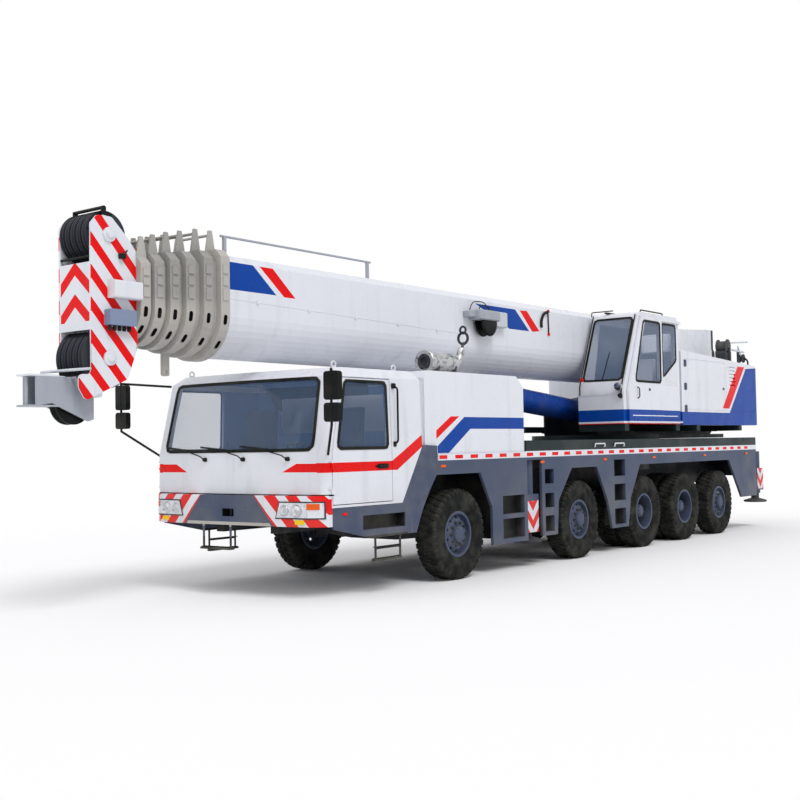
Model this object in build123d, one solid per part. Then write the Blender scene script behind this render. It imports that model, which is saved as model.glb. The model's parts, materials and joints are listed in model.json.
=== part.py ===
from build123d import *
import os
from math import cos, hypot, radians, sin

os.makedirs("parts", exist_ok=True)

# Lengths are millimetres. +X is forward, +Y is left, +Z is up.
# The origin is on the ground under the middle of the overall box.

# Overall sizes
nose_ahead = 5300.0
rear_float_back = 10085.0
float_radius = 215.0
overall_length = nose_ahead + rear_float_back + float_radius
axle_1_x = overall_length / 2 - nose_ahead
body_half_width = 1375.0

# Clearances
seat_gap = 0.3
running_gap = 0.05
moving_gap = 6.0
door_gap = 10.0

# Wheels
tyre_radius = 562.5
tyre_half_width = 157.0
bead_radius = 270.0
wheel_centre_y = body_half_width - 180.0
twin_spacing = 345.0
rim_half_width = 121.0
hand_hole_count = 10
steer_hole_circle = 208.0
steer_hole_radius = 21.0
twin_hole_circle = 188.0
twin_hole_radius = 14.0
spindle_radius = 45.0
drive_spindle_radius = 70.0

# Axles, columns: number, place behind axle 1, twin tyres, steered
axle_table = (
    (1, 0.0, False, True),
    (2, 3040.0, False, True),
    (3, 5140.0, True, False),
    (4, 6660.0, True, False),
    (5, 8120.0, False, True),
)
kingpin_y = wheel_centre_y - 210.0
kingpin_radius = 25.0
fist_radius = 55.0
fist_half_height = 80.0
knuckle_arm_thickness = 32.0
steer_beam_half_height = 60.0
drive_tube_radius = 85.0
differential_radius = 210.0
spring_half_length = 550.0
spring_width = 90.0
spring_leaf = 24.0

# Chassis frame
rail_inner_y = 380.0
rail_width = 120.0
deck_bottom_z = 1480.0
deck_top_z = 1560.0
rail_bottom_z = 880.0
hanger_bottom_z = 790.0
cab_rail_top_z = 960.0
cab_rail_bottom_z = 700.0
frame_front_x = axle_1_x + 2350.0
frame_rear_x = axle_1_x - rear_float_back + 505.0
slew_x = axle_1_x - 6000.0
pedestal_radius = 900.0
pedestal_wall = 80.0
pedestal_top_z = 1660.0

# Outriggers
float_thickness = 70.0
beam_pair_offset = 320.0
# Columns: end, side sign, place behind axle 1, bottom of the float
outrigger_table = (
    ("front_left", 1, 1740.0, 330.0),
    ("front_right", -1, 1740.0 - beam_pair_offset, 330.0),
    ("rear_left", 1, rear_float_back, 470.0),
    ("rear_right", -1, rear_float_back - beam_pair_offset, 470.0),
)
beam_half_width = 125.0
beam_height = 300.0
beam_bottom_z = 1000.0
beam_wall = 14.0
box_wall = 12.0
box_half_length = body_half_width - 275.0
jack_y = body_half_width - 150.0
beam_inner_y = jack_y - 145.0
jack_radius = 100.0
jack_leg_radius = 74.0
jack_bottom_z = 640.0
jack_top_z = 1440.0
board_half_width = 160.0
board_bottom_z = 700.0
board_top_z = 980.0

# Deck and side panels
deck_front_x = axle_1_x + 470.0
deck_rear_x = axle_1_x - rear_float_back + 285.0
panel_thickness = 40.0
arch_top_z = 1310.0
pocket_depth = 170.0
pocket_wall = 12.0
bay_half_width = 190.0
bay_top_z = 1445.0
rear_wall_top_z = 1700.0
coaming_top_z = 1710.0
coaming_thickness = 30.0

# Engine cover, engine and silencer
cover_front_x = axle_1_x + 700.0
cover_rear_x = axle_1_x - 1530.0
cover_top_z = 2570.0
cover_half_width = body_half_width - 25.0
cover_wall = 30.0
engine_length = 1500.0
engine_half_width = rail_inner_y - seat_gap
engine_bottom_z = 900.0
engine_top_z = 2050.0
silencer_x = axle_1_x + 35.0
silencer_y = body_half_width - 275.0
silencer_z = 2740.0
silencer_radius = 150.0
silencer_length = 1110.0

# Carrier cab, columns: height, front of the bulge, rear, half width
cab_sections = (
    (1010.0, axle_1_x + 2590.0, axle_1_x + 790.0, body_half_width),
    (1600.0, axle_1_x + 2585.0, axle_1_x + 790.0, body_half_width),
    (2450.0, axle_1_x + 2390.0, axle_1_x + 790.0, body_half_width - 30.0),
    (2550.0, axle_1_x + 2250.0, axle_1_x + 870.0, body_half_width - 105.0),
)
cab_sag = 70.0
cab_corner = 95.0
cab_wall = 45.0
cab_floor_top_z = 1080.0
glass_thickness = 8.0
door_front_x = axle_1_x + 2415.0
door_rear_x = axle_1_x + 1366.0
door_bottom_z = 1035.0
door_top_z = 2440.0
door_belt_z = 1600.0
door_slope = 195.0
window_border = 75.0
hinge_radius = 14.0
hinge_pin_radius = 8.0
hinge_heights = (1180.0, 1480.0)

# Front bumper and step skirts
bumper_front_x = axle_1_x + 2660.0
bumper_bottom_z = 700.0
bumper_wall = 30.0
tray_back_x = axle_1_x + 2540.0
tray_wall = 12.0
tray_low_z = 905.0
lamp_top_z = 995.0
tow_top_z = 995.0
tow_pin_x = axle_1_x + 2600.0
tow_pin_y = 12.0
tow_pin_radius = 18.0
front_step_x = axle_1_x + 2645.0
front_step_z = 540.0
front_step_left_y = 40.0
front_step_right_y = -400.0
step_half_depth = 40.0
step_half_height = 12.0
step_bar_radius = 13.0
pocket_rear_x = axle_1_x + 1142.0
pocket_front_x = axle_1_x + 1908.0
pocket_back_y = body_half_width - 118.0
pocket_low_z = 740.0
pocket_high_z = 900.0
side_step_z = 390.0
side_step_top_z = 660.0
side_step_rear_x = axle_1_x + 1230.0
side_step_front_x = axle_1_x + 1680.0

# Mirrors
mirror_y = body_half_width + 325.0
mirror_x = axle_1_x + 2780.0

# Superstructure
turntable_bottom_z = pedestal_top_z + seat_gap
turntable_plate = 130.0
side_plate_inner_y = 475.0
side_plate_thickness = 30.0
boom_pivot_x = axle_1_x - 8750.0
boom_pivot_z = 3250.0
boom_pin_radius = 110.0
cylinder_base_x = axle_1_x - 6350.0
cylinder_base_z = 2110.0
cylinder_head_x = axle_1_x - 1900.0
cylinder_head_z = 2500.0
cylinder_radius = 185.0
cylinder_bore_radius = 150.0
cylinder_rod_radius = 105.0
cylinder_eye_radius = 120.0
cylinder_eye_half_width = 104.0
cylinder_pin_radius = 55.0

# Operator's cab
opcab_front_x = axle_1_x - 4530.0
opcab_rear_x = axle_1_x - 6600.0
opcab_inner_y = 515.0
opcab_outer_y = body_half_width - 65.0
opcab_bottom_z = 1950.0
opcab_wall = 40.0
opdoor_thickness = 40.0
opdoor_front_x = axle_1_x - 4640.0
opdoor_rear_x = axle_1_x - 5860.0
opdoor_bottom_z = 2010.0
opdoor_top_z = 3640.0
opcab_top_z = opdoor_top_z + 110.0
opdoor_travel = 730.0
rail_bar = 40.0

# Machinery housings and winch
housing_front_x = axle_1_x - 6700.0
housing_rear_x = axle_1_x - 10100.0
housing_inner_y = 520.0
housing_outer_y = body_half_width - 75.0
housing_bottom_z = 1940.0
housing_front_top_z = 3220.0
housing_rear_top_z = 3080.0
# Housing doors, columns: front and rear end behind axle 1, top
housing_doors = ((6860.0, 8580.0, 3080.0), (8640.0, 9980.0, 3000.0))
seam_width = 7.0
seam_depth = 6.0
louvre_count = 6
louvre_pitch = 66.0
louvre_bottom_z = 2650.0
louvre_height = 42.0
louvre_depth = 24.0
winch_x = axle_1_x - 9750.0
winch_z = 3200.0
winch_drum_radius = 270.0
winch_flange_radius = 350.0

# Boom
boom_half_width = 460.0
boom_bottom_z = 2680.0
boom_top_z = 3790.0
boom_corner_cut = 60.0
boom_pitch = 32.0
boom_wall = 10.0
boom_base_rear_x = axle_1_x - 9100.0
collar_length = 130.0
collar_proud = 42.0
lug_slope = 42.0
lug_pin_radius = 16.0
# Pads on a collar's flank, columns: bottom and top as shares of its upper half
collar_pads = ((0.20, 0.40), (0.45, 0.60), (0.65, 0.80))
pad_margin = 26.0
pad_proud = 12.0
slot_angles = (9.0, 43.0)
slot_width = 30.0
slot_length = 112.0
slot_depth = 40.0
lower_shell_step = 9.0
# Boom sections, columns: number, front of the collar, rear end, top of the lug
boom_table = (
    (1, axle_1_x + 3185.0, axle_1_x - 9100.0, 4060.0),
    (2, axle_1_x + 3400.0, axle_1_x - 7900.0, 4050.0),
    (3, axle_1_x + 3620.0, axle_1_x - 7750.0, 4000.0),
    (4, axle_1_x + 3810.0, axle_1_x - 7600.0, 3960.0),
    (5, axle_1_x + 3990.0, axle_1_x - 7450.0, 3910.0),
    (6, axle_1_x + 4145.0, axle_1_x - 7300.0, 3870.0),
)
head_front_x = axle_1_x + 4700.0
head_half_width = 265.0
head_plate = 30.0
tie_rod_y = 300.0
tie_rod_z = 4015.0
tie_rod_radius = 14.0
hanger_eye_z = 2505.0
nose_tip_x = overall_length / 2
nose_half_width = 110.0
nose_sheave_x = axle_1_x + 4765.0
nose_sheave_z = 2141.0
nose_sheave_radius = 208.0


def flat_shape(points, radii=0):
    """A flat face with the given corners, rounded by radii."""
    if radii == 0:
        return make_face(Polyline(*points, close=True))
    return make_face(FilletPolyline(*points, radius=radii, close=True))


def prism_x(points, x_low, x_high, radii=0):
    """An outline in Y and Z carried along X."""
    plane = Plane((x_low, 0, 0), x_dir=(0, 1, 0), z_dir=(1, 0, 0))
    return extrude(plane * flat_shape(points, radii), amount=x_high - x_low)


def prism_y(points, y_low, y_high, radii=0):
    """An outline in X and Z carried along Y."""
    plane = Plane((0, y_high, 0), x_dir=(1, 0, 0), z_dir=(0, -1, 0))
    return extrude(plane * flat_shape(points, radii), amount=y_high - y_low)


def prism_z(points, z_low, z_high, radii=0):
    """An outline in X and Y carried along Z."""
    return extrude(Plane((0, 0, z_low)) * flat_shape(points, radii), amount=z_high - z_low)


def block(x_low, x_high, y_low, y_high, z_low, z_high):
    """A rectangular block between its low and high corners."""
    size = (x_high - x_low, y_high - y_low, z_high - z_low)
    return Pos(x_low, y_low, z_low) * Box(*size, align=(Align.MIN, Align.MIN, Align.MIN))


def rod(start, end, radius):
    """A round bar from start to end."""
    way = Vector(*end) - Vector(*start)
    plane = Plane(start, z_dir=way)
    return plane * Cylinder(radius, way.length, align=(Align.CENTER, Align.CENTER, Align.MIN))


def pipe(start, end, radius, bore):
    """A round tube from start to end."""
    return rod(start, end, radius) - rod(start, end, bore)


def turned(profile, centre):
    """A profile of (place along Y, radius) turned about the Y axis and set at centre."""
    return Pos(*centre) * revolve(Plane.YZ * flat_shape(profile), axis=Axis.Y)


def both_sides(make):
    """The same piece made for the left and the right side."""
    return [make(1), make(-1)]


def side_span(side, near, far):
    """Low and high Y of a span that lies between near and far on one side."""
    return (near, far) if side > 0 else (-far, -near)


def inset(points, distance):
    """A convex outline, anticlockwise, with each edge moved inwards by distance."""
    moved = []
    for (x0, y0), (x1, y1) in zip(points, points[1:] + points[:1]):
        length = hypot(x1 - x0, y1 - y0)
        nx, ny = -(y1 - y0) / length, (x1 - x0) / length
        moved.append((nx, ny, nx * x0 + ny * y0 + distance))
    corners = []
    for (a0, b0, c0), (a1, b1, c1) in zip([moved[-1]] + moved[:-1], moved):
        det = a0 * b1 - a1 * b0
        corners.append(((c0 * b1 - c1 * b0) / det, (a0 * c1 - a1 * c0) / det))
    return corners


def save(name, shapes):
    """One STEP file for a node, of one solid or several apart."""
    if not isinstance(shapes, list):
        shapes = [shapes]
    solids = [solid for shape in shapes for solid in shape.solids()]
    whole = Compound(children=solids) if len(solids) > 1 else solids[0]
    whole.label = name
    export_step(whole, f"parts/{name}.step")


# Wheels
def tyre(side, x, y):
    """One tyre, its tread crowned and its walls drawn in to the bead."""
    w = tyre_half_width
    half = ((bead_radius, 105.0), (380.0, w), (470.0, w), (540.0, w - 22.0), (tyre_radius, w - 52.0))
    profile = [(y_half, r) for r, y_half in half] + [(-y_half, r) for r, y_half in reversed(half)]
    return turned(profile, (x, side * y, tyre_radius))


def rim_barrel_profile(flange, barrel):
    """The outer half of a rim's section: the two flanges and the bead seats."""
    w = rim_half_width
    return [(w, flange), (w - 8, flange), (w - 8, barrel), (8 - w, barrel), (8 - w, flange), (-w, flange)]


def hand_holes(centre, circle, radius, low, high):
    """The holes round a rim's disc, on a circle about the wheel's axis between two places along it."""
    x, z = centre
    holes = []
    for number in range(hand_hole_count):
        angle = radians(360 / hand_hole_count * (number + 0.5))
        at_x, at_z = x + circle * cos(angle), z + circle * sin(angle)
        holes.append(rod((at_x, low, at_z), (at_x, high, at_z), radius))
    return holes


def steer_rim(side, x):
    """A rim whose disc stands outwards, with its hub and hub cap."""
    flange, barrel, inner = bead_radius + 14, bead_radius - seat_gap, bead_radius - 18
    bore = spindle_radius + running_gap
    profile = rim_barrel_profile(flange, barrel) + [
        (-rim_half_width, inner), (40, inner), (88, 180), (88, 130), (-70, 130), (-70, bore),
        (110, bore), (110, 0), (162, 0), (162, 60), (148, 100), (112, 112), (108, 175),
        (62, 240), (62, inner), (rim_half_width, inner)]
    if side < 0:
        profile = [(-y, r) for y, r in profile]
    rim = turned(profile, (x, side * wheel_centre_y, tyre_radius))
    low, high = side_span(side, wheel_centre_y + 20, wheel_centre_y + 130)
    return rim - hand_holes((x, tyre_radius), steer_hole_circle, steer_hole_radius, low, high)


def twin_rim(side, x):
    """Two dished rims bolted back to back on a geared hub."""
    flange, barrel, inner = bead_radius + 14, bead_radius - seat_gap, bead_radius - 18
    mid = -twin_spacing / 2
    bore = drive_spindle_radius + running_gap
    outer = rim_barrel_profile(flange, barrel) + [
        (-rim_half_width, inner - 2), (mid, 215), (mid, 125), (mid + 16, 125), (mid + 16, 205),
        (-108, 240), (-100, inner), (rim_half_width, inner)]
    mirrored = [(2 * mid - y, r) for y, r in outer]
    hub = [(mid - 90, bore), (20, bore), (20, 0), (75, 0), (75, 62), (50, 100), (-60, 118),
           (-60, 131), (mid - 90, 131)]
    whole = None
    for profile in (outer, mirrored, hub):
        if side < 0:
            profile = [(-y, r) for y, r in profile]
        piece = turned(profile, (x, side * wheel_centre_y, tyre_radius))
        whole = piece if whole is None else whole + piece
    middle = wheel_centre_y + mid
    low, high = side_span(side, middle - 30, middle + 30)
    return whole - hand_holes((x, tyre_radius), twin_hole_circle, twin_hole_radius, low, high)


def knuckle(side, x):
    """A fork about the kingpin with the wheel's spindle."""
    y = side * kingpin_y
    z = tyre_radius
    far = kingpin_y + fist_radius + 36
    arm_low, arm_high = side_span(side, kingpin_y - fist_radius, far)
    plate_low, plate_high = side_span(side, kingpin_y + fist_radius + 8, far)
    arm_z = fist_half_height + seat_gap
    top = arm_z + knuckle_arm_thickness
    body = block(x - 60, x + 60, plate_low, plate_high, z - top, z + top)
    for low, high in ((arm_z, top), (-top, -arm_z)):
        body += block(x - 60, x + 60, arm_low, arm_high, z + low, z + high)
    body += rod((x, y, z - top), (x, y, z + top), kingpin_radius)
    hub_end = side * (wheel_centre_y + 110 - seat_gap)
    body += rod((x, side * (far - 5), z), (x, hub_end, z), spindle_radius)
    return body


def steer_axle(x):
    """A drop beam with a fist and kingpin bore at each end."""
    z = tyre_radius
    k = kingpin_y - fist_radius + 10
    h = steer_beam_half_height
    side_view = [(-k, z - h), (-k + 160, z - h), (-rail_inner_y, z - h - 40), (rail_inner_y, z - h - 40),
                 (k - 160, z - h), (k, z - h), (k, z + h), (-k, z + h)]
    beam = prism_x(side_view, x - 55, x + 55)
    for side in (1, -1):
        y = side * kingpin_y
        beam += rod((x, y, z - fist_half_height), (x, y, z + fist_half_height), fist_radius)
        beam -= rod((x, y, 0), (x, y, 2 * z), kingpin_radius + running_gap)
    return beam


def drive_axle(x):
    """A drive axle's tube, differential and end spindles."""
    z = tyre_radius
    end = wheel_centre_y + 20 - seat_gap
    shoulder = wheel_centre_y - twin_spacing / 2 - 90 - seat_gap
    profile = [(-end, 0), (-end, drive_spindle_radius), (-shoulder, drive_spindle_radius),
               (-shoulder, drive_tube_radius), (-260, drive_tube_radius), (-130, differential_radius),
               (130, differential_radius), (260, drive_tube_radius), (shoulder, drive_tube_radius),
               (shoulder, drive_spindle_radius), (end, drive_spindle_radius), (end, 0)]
    return turned(profile, (x, 0, z))


def leaf_spring(side, x, beam_top):
    """A bundle of leaves, longest on top, that bows down to the axle's seat."""
    y_mid = rail_inner_y + rail_width / 2
    top = hanger_bottom_z
    seat = beam_top + 3 * spring_leaf
    h, t = spring_half_length, spring_leaf
    outline = [(x - h, top - t), (x - h, top), (x - h + 90, top), (x - 70, seat), (x + 70, seat),
               (x + h - 90, top), (x + h, top), (x + h, top - t), (x + h - 90, top - t),
               (x + 0.62 * h, top - 2 * t - 20), (x + 110, beam_top), (x - 110, beam_top),
               (x - 0.62 * h, top - 2 * t - 20), (x - h + 90, top - t)]
    low, high = side_span(side, y_mid - spring_width / 2, y_mid + spring_width / 2)
    return prism_y(outline, low, high)


running_gear = []
for number, back, twin, steered in axle_table:
    axle_x = axle_1_x - back
    top_z = tyre_radius + (steer_beam_half_height if steered else drive_tube_radius - 20)
    axle = steer_axle(axle_x) if steered else drive_axle(axle_x)
    for side in (1, -1):
        axle += leaf_spring(side, axle_x, top_z)
    running_gear.append(axle)
    for side, name in ((1, "left"), (-1, "right")):
        centres = (wheel_centre_y, wheel_centre_y - twin_spacing) if twin else (wheel_centre_y,)
        save(f"tyre_{number}_{name}", [tyre(side, axle_x, y) for y in centres])
        save(f"rim_{number}_{name}", twin_rim(side, axle_x) if twin else steer_rim(side, axle_x))
        if steered:
            save(f"knuckle_{number}_{name}", knuckle(side, axle_x))

engine_x = axle_1_x - 500.0
engine = block(engine_x - engine_length / 2, engine_x + engine_length / 2, -engine_half_width,
               engine_half_width, engine_bottom_z, engine_top_z)
running_gear.append(engine)
save("running_gear", running_gear)


# Chassis frame
def rail(side):
    """One box rail, low under the cab and raised over the axles."""
    outline = [(frame_front_x, cab_rail_bottom_z), (frame_front_x, cab_rail_top_z),
               (axle_1_x + 740, cab_rail_top_z), (axle_1_x + 560, deck_bottom_z),
               (frame_rear_x, deck_bottom_z), (frame_rear_x, rail_bottom_z),
               (axle_1_x + 760, rail_bottom_z), (axle_1_x + 900, cab_rail_bottom_z)]
    low, high = side_span(side, rail_inner_y, rail_inner_y + rail_width)
    return prism_y(outline, low, high)


def spring_hanger(side, x, end):
    """A block under the rail that a leaf spring's end bears on."""
    low, high = side_span(side, rail_inner_y + 10, rail_inner_y + rail_width - 10)
    place = x + end * (spring_half_length - 60)
    return block(place - 50, place + 50, low, high, hanger_bottom_z, rail_bottom_z + 20)


def outrigger_box(x):
    """A rectangular tube across the frame that a beam slides in."""
    half = beam_half_width + moving_gap + box_wall
    low = beam_bottom_z - seat_gap - box_wall
    high = beam_bottom_z + beam_height + moving_gap + box_wall
    tube = block(x - half, x + half, -box_half_length, box_half_length, low, high)
    return tube


def outrigger_bore(x):
    """The space inside an outrigger box."""
    half = beam_half_width + moving_gap
    low = beam_bottom_z - seat_gap
    high = beam_bottom_z + beam_height + moving_gap
    return block(x - half, x + half, -2 * box_half_length, 2 * box_half_length, low, high)


frame = rail(1) + rail(-1)
for back in (-1900.0, 2500.0, 3900.0, 7400.0, 9000.0):
    tube_z = (cab_rail_top_z + cab_rail_bottom_z) / 2 if back < 0 else 1180.0
    frame += rod((axle_1_x - back, -rail_inner_y - 20, tube_z), (axle_1_x - back, rail_inner_y + 20, tube_z), 70)
frame += pipe((slew_x, 0, 1200), (slew_x, 0, pedestal_top_z), pedestal_radius, pedestal_radius - pedestal_wall)
for end_name, sign, back, float_z in outrigger_table:
    frame += outrigger_box(axle_1_x - back)
tail_x = axle_1_x - rear_float_back - beam_half_width - moving_gap - box_wall
tail_half_width = rail_inner_y + rail_width
for low, high in ((rail_bottom_z, beam_bottom_z), (beam_bottom_z + beam_height, deck_bottom_z)):
    frame += block(tail_x, frame_rear_x + 10, -tail_half_width, tail_half_width, low, high)
for end_name, sign, back, float_z in outrigger_table:
    frame -= outrigger_bore(axle_1_x - back)
for number, back, twin, steered in axle_table:
    for side in (1, -1):
        for end in (1, -1):
            frame += spring_hanger(side, axle_1_x - back, end)
save("chassis_frame", frame)


# Outrigger beams and jacks
for end_name, side, back, float_z in outrigger_table:
    x = axle_1_x - back
    far = jack_y - jack_radius + 20
    low, high = side_span(side, -beam_inner_y, far)
    beam_top = beam_bottom_z + beam_height
    beam = block(x - beam_half_width, x + beam_half_width, low, high, beam_bottom_z, beam_top)
    hollow_low, hollow_high = side_span(side, -beam_inner_y - 1, far - 60)
    w = beam_wall
    beam -= block(x - beam_half_width + w, x + beam_half_width - w, hollow_low, hollow_high,
                  beam_bottom_z + w, beam_top - w)
    y = side * jack_y
    beam += rod((x, y, jack_bottom_z), (x, y, jack_top_z), jack_radius)
    beam -= rod((x, y, jack_bottom_z - 1), (x, y, jack_top_z - 40), jack_leg_radius + running_gap)
    board_low, board_high = side_span(side, jack_y + jack_radius - 4, jack_y + jack_radius + 8)
    beam += block(x - board_half_width, x + board_half_width, board_low, board_high, board_bottom_z, board_top_z)
    save(f"outrigger_{end_name}", beam)
    leg = rod((x, y, float_z + float_thickness - 5), (x, y, jack_top_z - 60), jack_leg_radius)
    foot = Pos(x, y, 0) * revolve(
        Plane.XZ * flat_shape([(0, float_z), (float_radius - 15, float_z), (float_radius, float_z + 15),
                               (float_radius, float_z + 35), (jack_leg_radius + 25, float_z + float_thickness),
                               (0, float_z + float_thickness)]), axis=Axis.Z)
    save(f"jack_{end_name}", leg + foot)


# Deck and side panels
def side_panel(side):
    """The outer skirt of one side, with its wheel arches and the outrigger's bay."""
    fore, aft = (row[2] for row in outrigger_table if row[1] == side)
    bay = axle_1_x - fore
    a = axle_1_x
    tail = max(deck_rear_x, a - aft + bay_half_width)
    outline = [(a + 510, deck_bottom_z), (a + 510, arch_top_z), (a - 430, arch_top_z), (a - 690, 860),
               (a - 700, 370), (bay + bay_half_width, 370), (bay + bay_half_width, bay_top_z),
               (bay - bay_half_width, bay_top_z), (bay - bay_half_width, 400), (a - 2330, 400),
               (a - 2377, 870), (a - 2760, arch_top_z), (a - 3500, arch_top_z), (a - 3820, 800),
               (a - 3960, 370), (a - 4480, 370), (a - 4570, 800), (a - 4910, arch_top_z),
               (a - 8485, arch_top_z), (deck_rear_x + 750, 610), (tail, 610), (tail, deck_bottom_z)]
    low, high = side_span(side, body_half_width - panel_thickness, body_half_width)
    return prism_y(outline, low, high)


# Step pockets, columns: side sign, front end, rear end, bottom, top (places behind axle 1)
pocket_table = (
    (1, 940.0, 1470.0, 750.0, 990.0),
    (1, 940.0, 1470.0, 430.0, 690.0),
    (1, 2010.0, 2250.0, 1110.0, 1310.0),
    (1, 2010.0, 2250.0, 780.0, 980.0),
    (1, 2010.0, 2250.0, 450.0, 670.0),
    (1, 4040.0, 4400.0, 1150.0, 1400.0),
    (1, 4040.0, 4400.0, 780.0, 1030.0),
    (1, 4040.0, 4400.0, 420.0, 660.0),
    (-1, 800.0, 1130.0, 750.0, 990.0),
    (-1, 800.0, 1130.0, 430.0, 690.0),
    (-1, 2010.0, 2250.0, 1110.0, 1310.0),
    (-1, 2010.0, 2250.0, 780.0, 980.0),
    (-1, 2010.0, 2250.0, 450.0, 670.0),
    (-1, 4040.0, 4400.0, 1150.0, 1400.0),
    (-1, 4040.0, 4400.0, 780.0, 1030.0),
    (-1, 4040.0, 4400.0, 420.0, 660.0),
)

deck = block(deck_rear_x, deck_front_x, -body_half_width, body_half_width, deck_bottom_z, deck_top_z)
deck -= rod((slew_x, 0, 0), (slew_x, 0, 2 * deck_top_z), pedestal_radius + seat_gap)
deck -= block(engine_x - engine_length / 2 - 60, engine_x + engine_length / 2 + 60, -engine_half_width - 60,
              engine_half_width + 60, deck_bottom_z - 1, deck_top_z + 1)
deck += side_panel(1) + side_panel(-1)
for side, near, far, low, high in pocket_table:
    w = pocket_wall
    y_low, y_high = side_span(side, body_half_width - pocket_depth, body_half_width - 1)
    deck += block(axle_1_x - far - w, axle_1_x - near + w, y_low, y_high, low - w, high + w)
for side, near, far, low, high in pocket_table:
    y_low, y_high = side_span(side, body_half_width - pocket_depth + pocket_wall, body_half_width + 1)
    deck -= block(axle_1_x - far, axle_1_x - near, y_low, y_high, low, high)
deck += block(deck_rear_x, deck_rear_x + 30, -body_half_width, body_half_width, deck_top_z, rear_wall_top_z)
for side in (1, -1):
    low, high = side_span(side, body_half_width - coaming_thickness, body_half_width)
    deck += block(deck_rear_x, cover_rear_x - 10, low, high, deck_top_z, coaming_top_z)
save("deck", deck)

# Engine cover
cover_outline = [(cover_front_x, deck_top_z), (cover_front_x, cover_top_z - 90), (cover_front_x - 80, cover_top_z),
                 (cover_rear_x + 175, cover_top_z), (cover_rear_x, cover_top_z - 150), (cover_rear_x, deck_top_z)]
cover = prism_y(cover_outline, -cover_half_width, cover_half_width)
w = cover_wall
inner_outline = [(cover_front_x - w, deck_top_z - 1), (cover_front_x - w, cover_top_z - 100),
                 (cover_front_x - 90, cover_top_z - w), (cover_rear_x + 185, cover_top_z - w),
                 (cover_rear_x + w, cover_top_z - 160), (cover_rear_x + w, deck_top_z - 1)]
cover -= prism_y(inner_outline, -cover_half_width + w, cover_half_width - w)
save("engine_cover", cover)

# Silencer
half = silencer_length / 2
silencer = turned([(-half, 0), (-half, 110), (-half + 40, silencer_radius), (half - 40, silencer_radius),
                   (half, 110), (half, 0)], (0, 0, 0))
silencer = Pos(silencer_x, silencer_y, silencer_z) * Rot(0, 0, 90) * silencer
for place in (-320, 320):
    x = silencer_x + place
    silencer += block(x - 25, x + 25, silencer_y - 120, silencer_y + 120, cover_top_z, silencer_z - 60)
silencer += rod((silencer_x - half + 20, silencer_y, silencer_z), (silencer_x - half - 160, silencer_y, silencer_z), 55)
save("silencer", silencer)


# Carrier cab
def cab_plan(front, rear, half_width, z):
    """The cab's plan at one height: a bowed front with round corners."""
    s, c, k = cab_sag, cab_corner, cab_corner * cos(radians(45))
    x = front - s - c
    y = half_width - c
    line = Polyline((x, half_width, z), (rear, half_width, z), (rear, -half_width, z), (x, -half_width, z))
    right = ThreePointArc((x, -half_width, z), (x + k, -y - k, z), (x + c, -y, z))
    bow = ThreePointArc((x + c, -y, z), (front, 0, z), (x + c, y, z))
    left = ThreePointArc((x + c, y, z), (x + k, y + k, z), (x, half_width, z))
    return make_face(Curve() + [line, right, bow, left])


def cab_form(depth, floor, roof_depth):
    """The cab's form, its walls moved inwards by depth and its roof lowered, cut off at the floor."""
    faces = []
    for index, (z, front, rear, half_width) in enumerate(cab_sections):
        if index == 0:
            z = floor
        elif index > 1:
            z -= roof_depth
        faces.append(cab_plan(front - depth, rear + depth, half_width - depth, z))
    return loft(faces, ruled=True)


def cab_rear_cut(depth):
    """What the sloping lower rear edge of the cab takes away."""
    x = axle_1_x + 790
    d = depth
    return prism_y([(x - 50, 900), (x - 50, 1660 + d), (x + d, 1660 + d), (x + 400 + d, 1010 + d),
                    (x + 400 + d, 900)], -2 * body_half_width, 2 * body_half_width)


def door_outline(gap):
    """The carrier cab door's outline, drawn in by gap."""
    points = [(door_rear_x, door_bottom_z), (door_front_x, door_bottom_z), (door_front_x, door_belt_z),
              (door_front_x - door_slope, door_top_z), (door_rear_x, door_top_z)]
    return inset(points, gap)


def window_outline():
    """The window in the carrier cab's door."""
    low = door_belt_z + 50
    points = [(door_rear_x, low - window_border), (door_front_x, low - window_border),
              (door_front_x - door_slope, door_top_z + 30), (door_rear_x, door_top_z + 30)]
    return inset(points, window_border)


cab_bottom_z = cab_sections[0][0]
below_cab_z = cab_bottom_z - 100
cab_outer = cab_form(0, cab_bottom_z, 0) - cab_rear_cut(0)
cab_inner = cab_form(cab_wall, cab_floor_top_z, cab_wall) - cab_rear_cut(cab_wall)
behind_doors = cab_form(cab_wall, below_cab_z, 0)
behind_door_gap = cab_form(cab_wall + door_gap, below_cab_z, 0)
screen_low_z = 1650.0
screen_high_z = 2420.0
screen_half_width = body_half_width - 195.0
screen_cut = prism_x([(-screen_half_width, screen_low_z), (screen_half_width, screen_low_z),
                      (screen_half_width - 40, screen_high_z), (-screen_half_width + 40, screen_high_z)],
                     axle_1_x + 2100, axle_1_x + 2800, 60)
rear_window_cut = block(axle_1_x + 700, axle_1_x + 900, -900, 900, 1850, 2300)
cab_skin = cab_outer - cab_inner
cab = cab_skin - screen_cut - rear_window_cut
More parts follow.
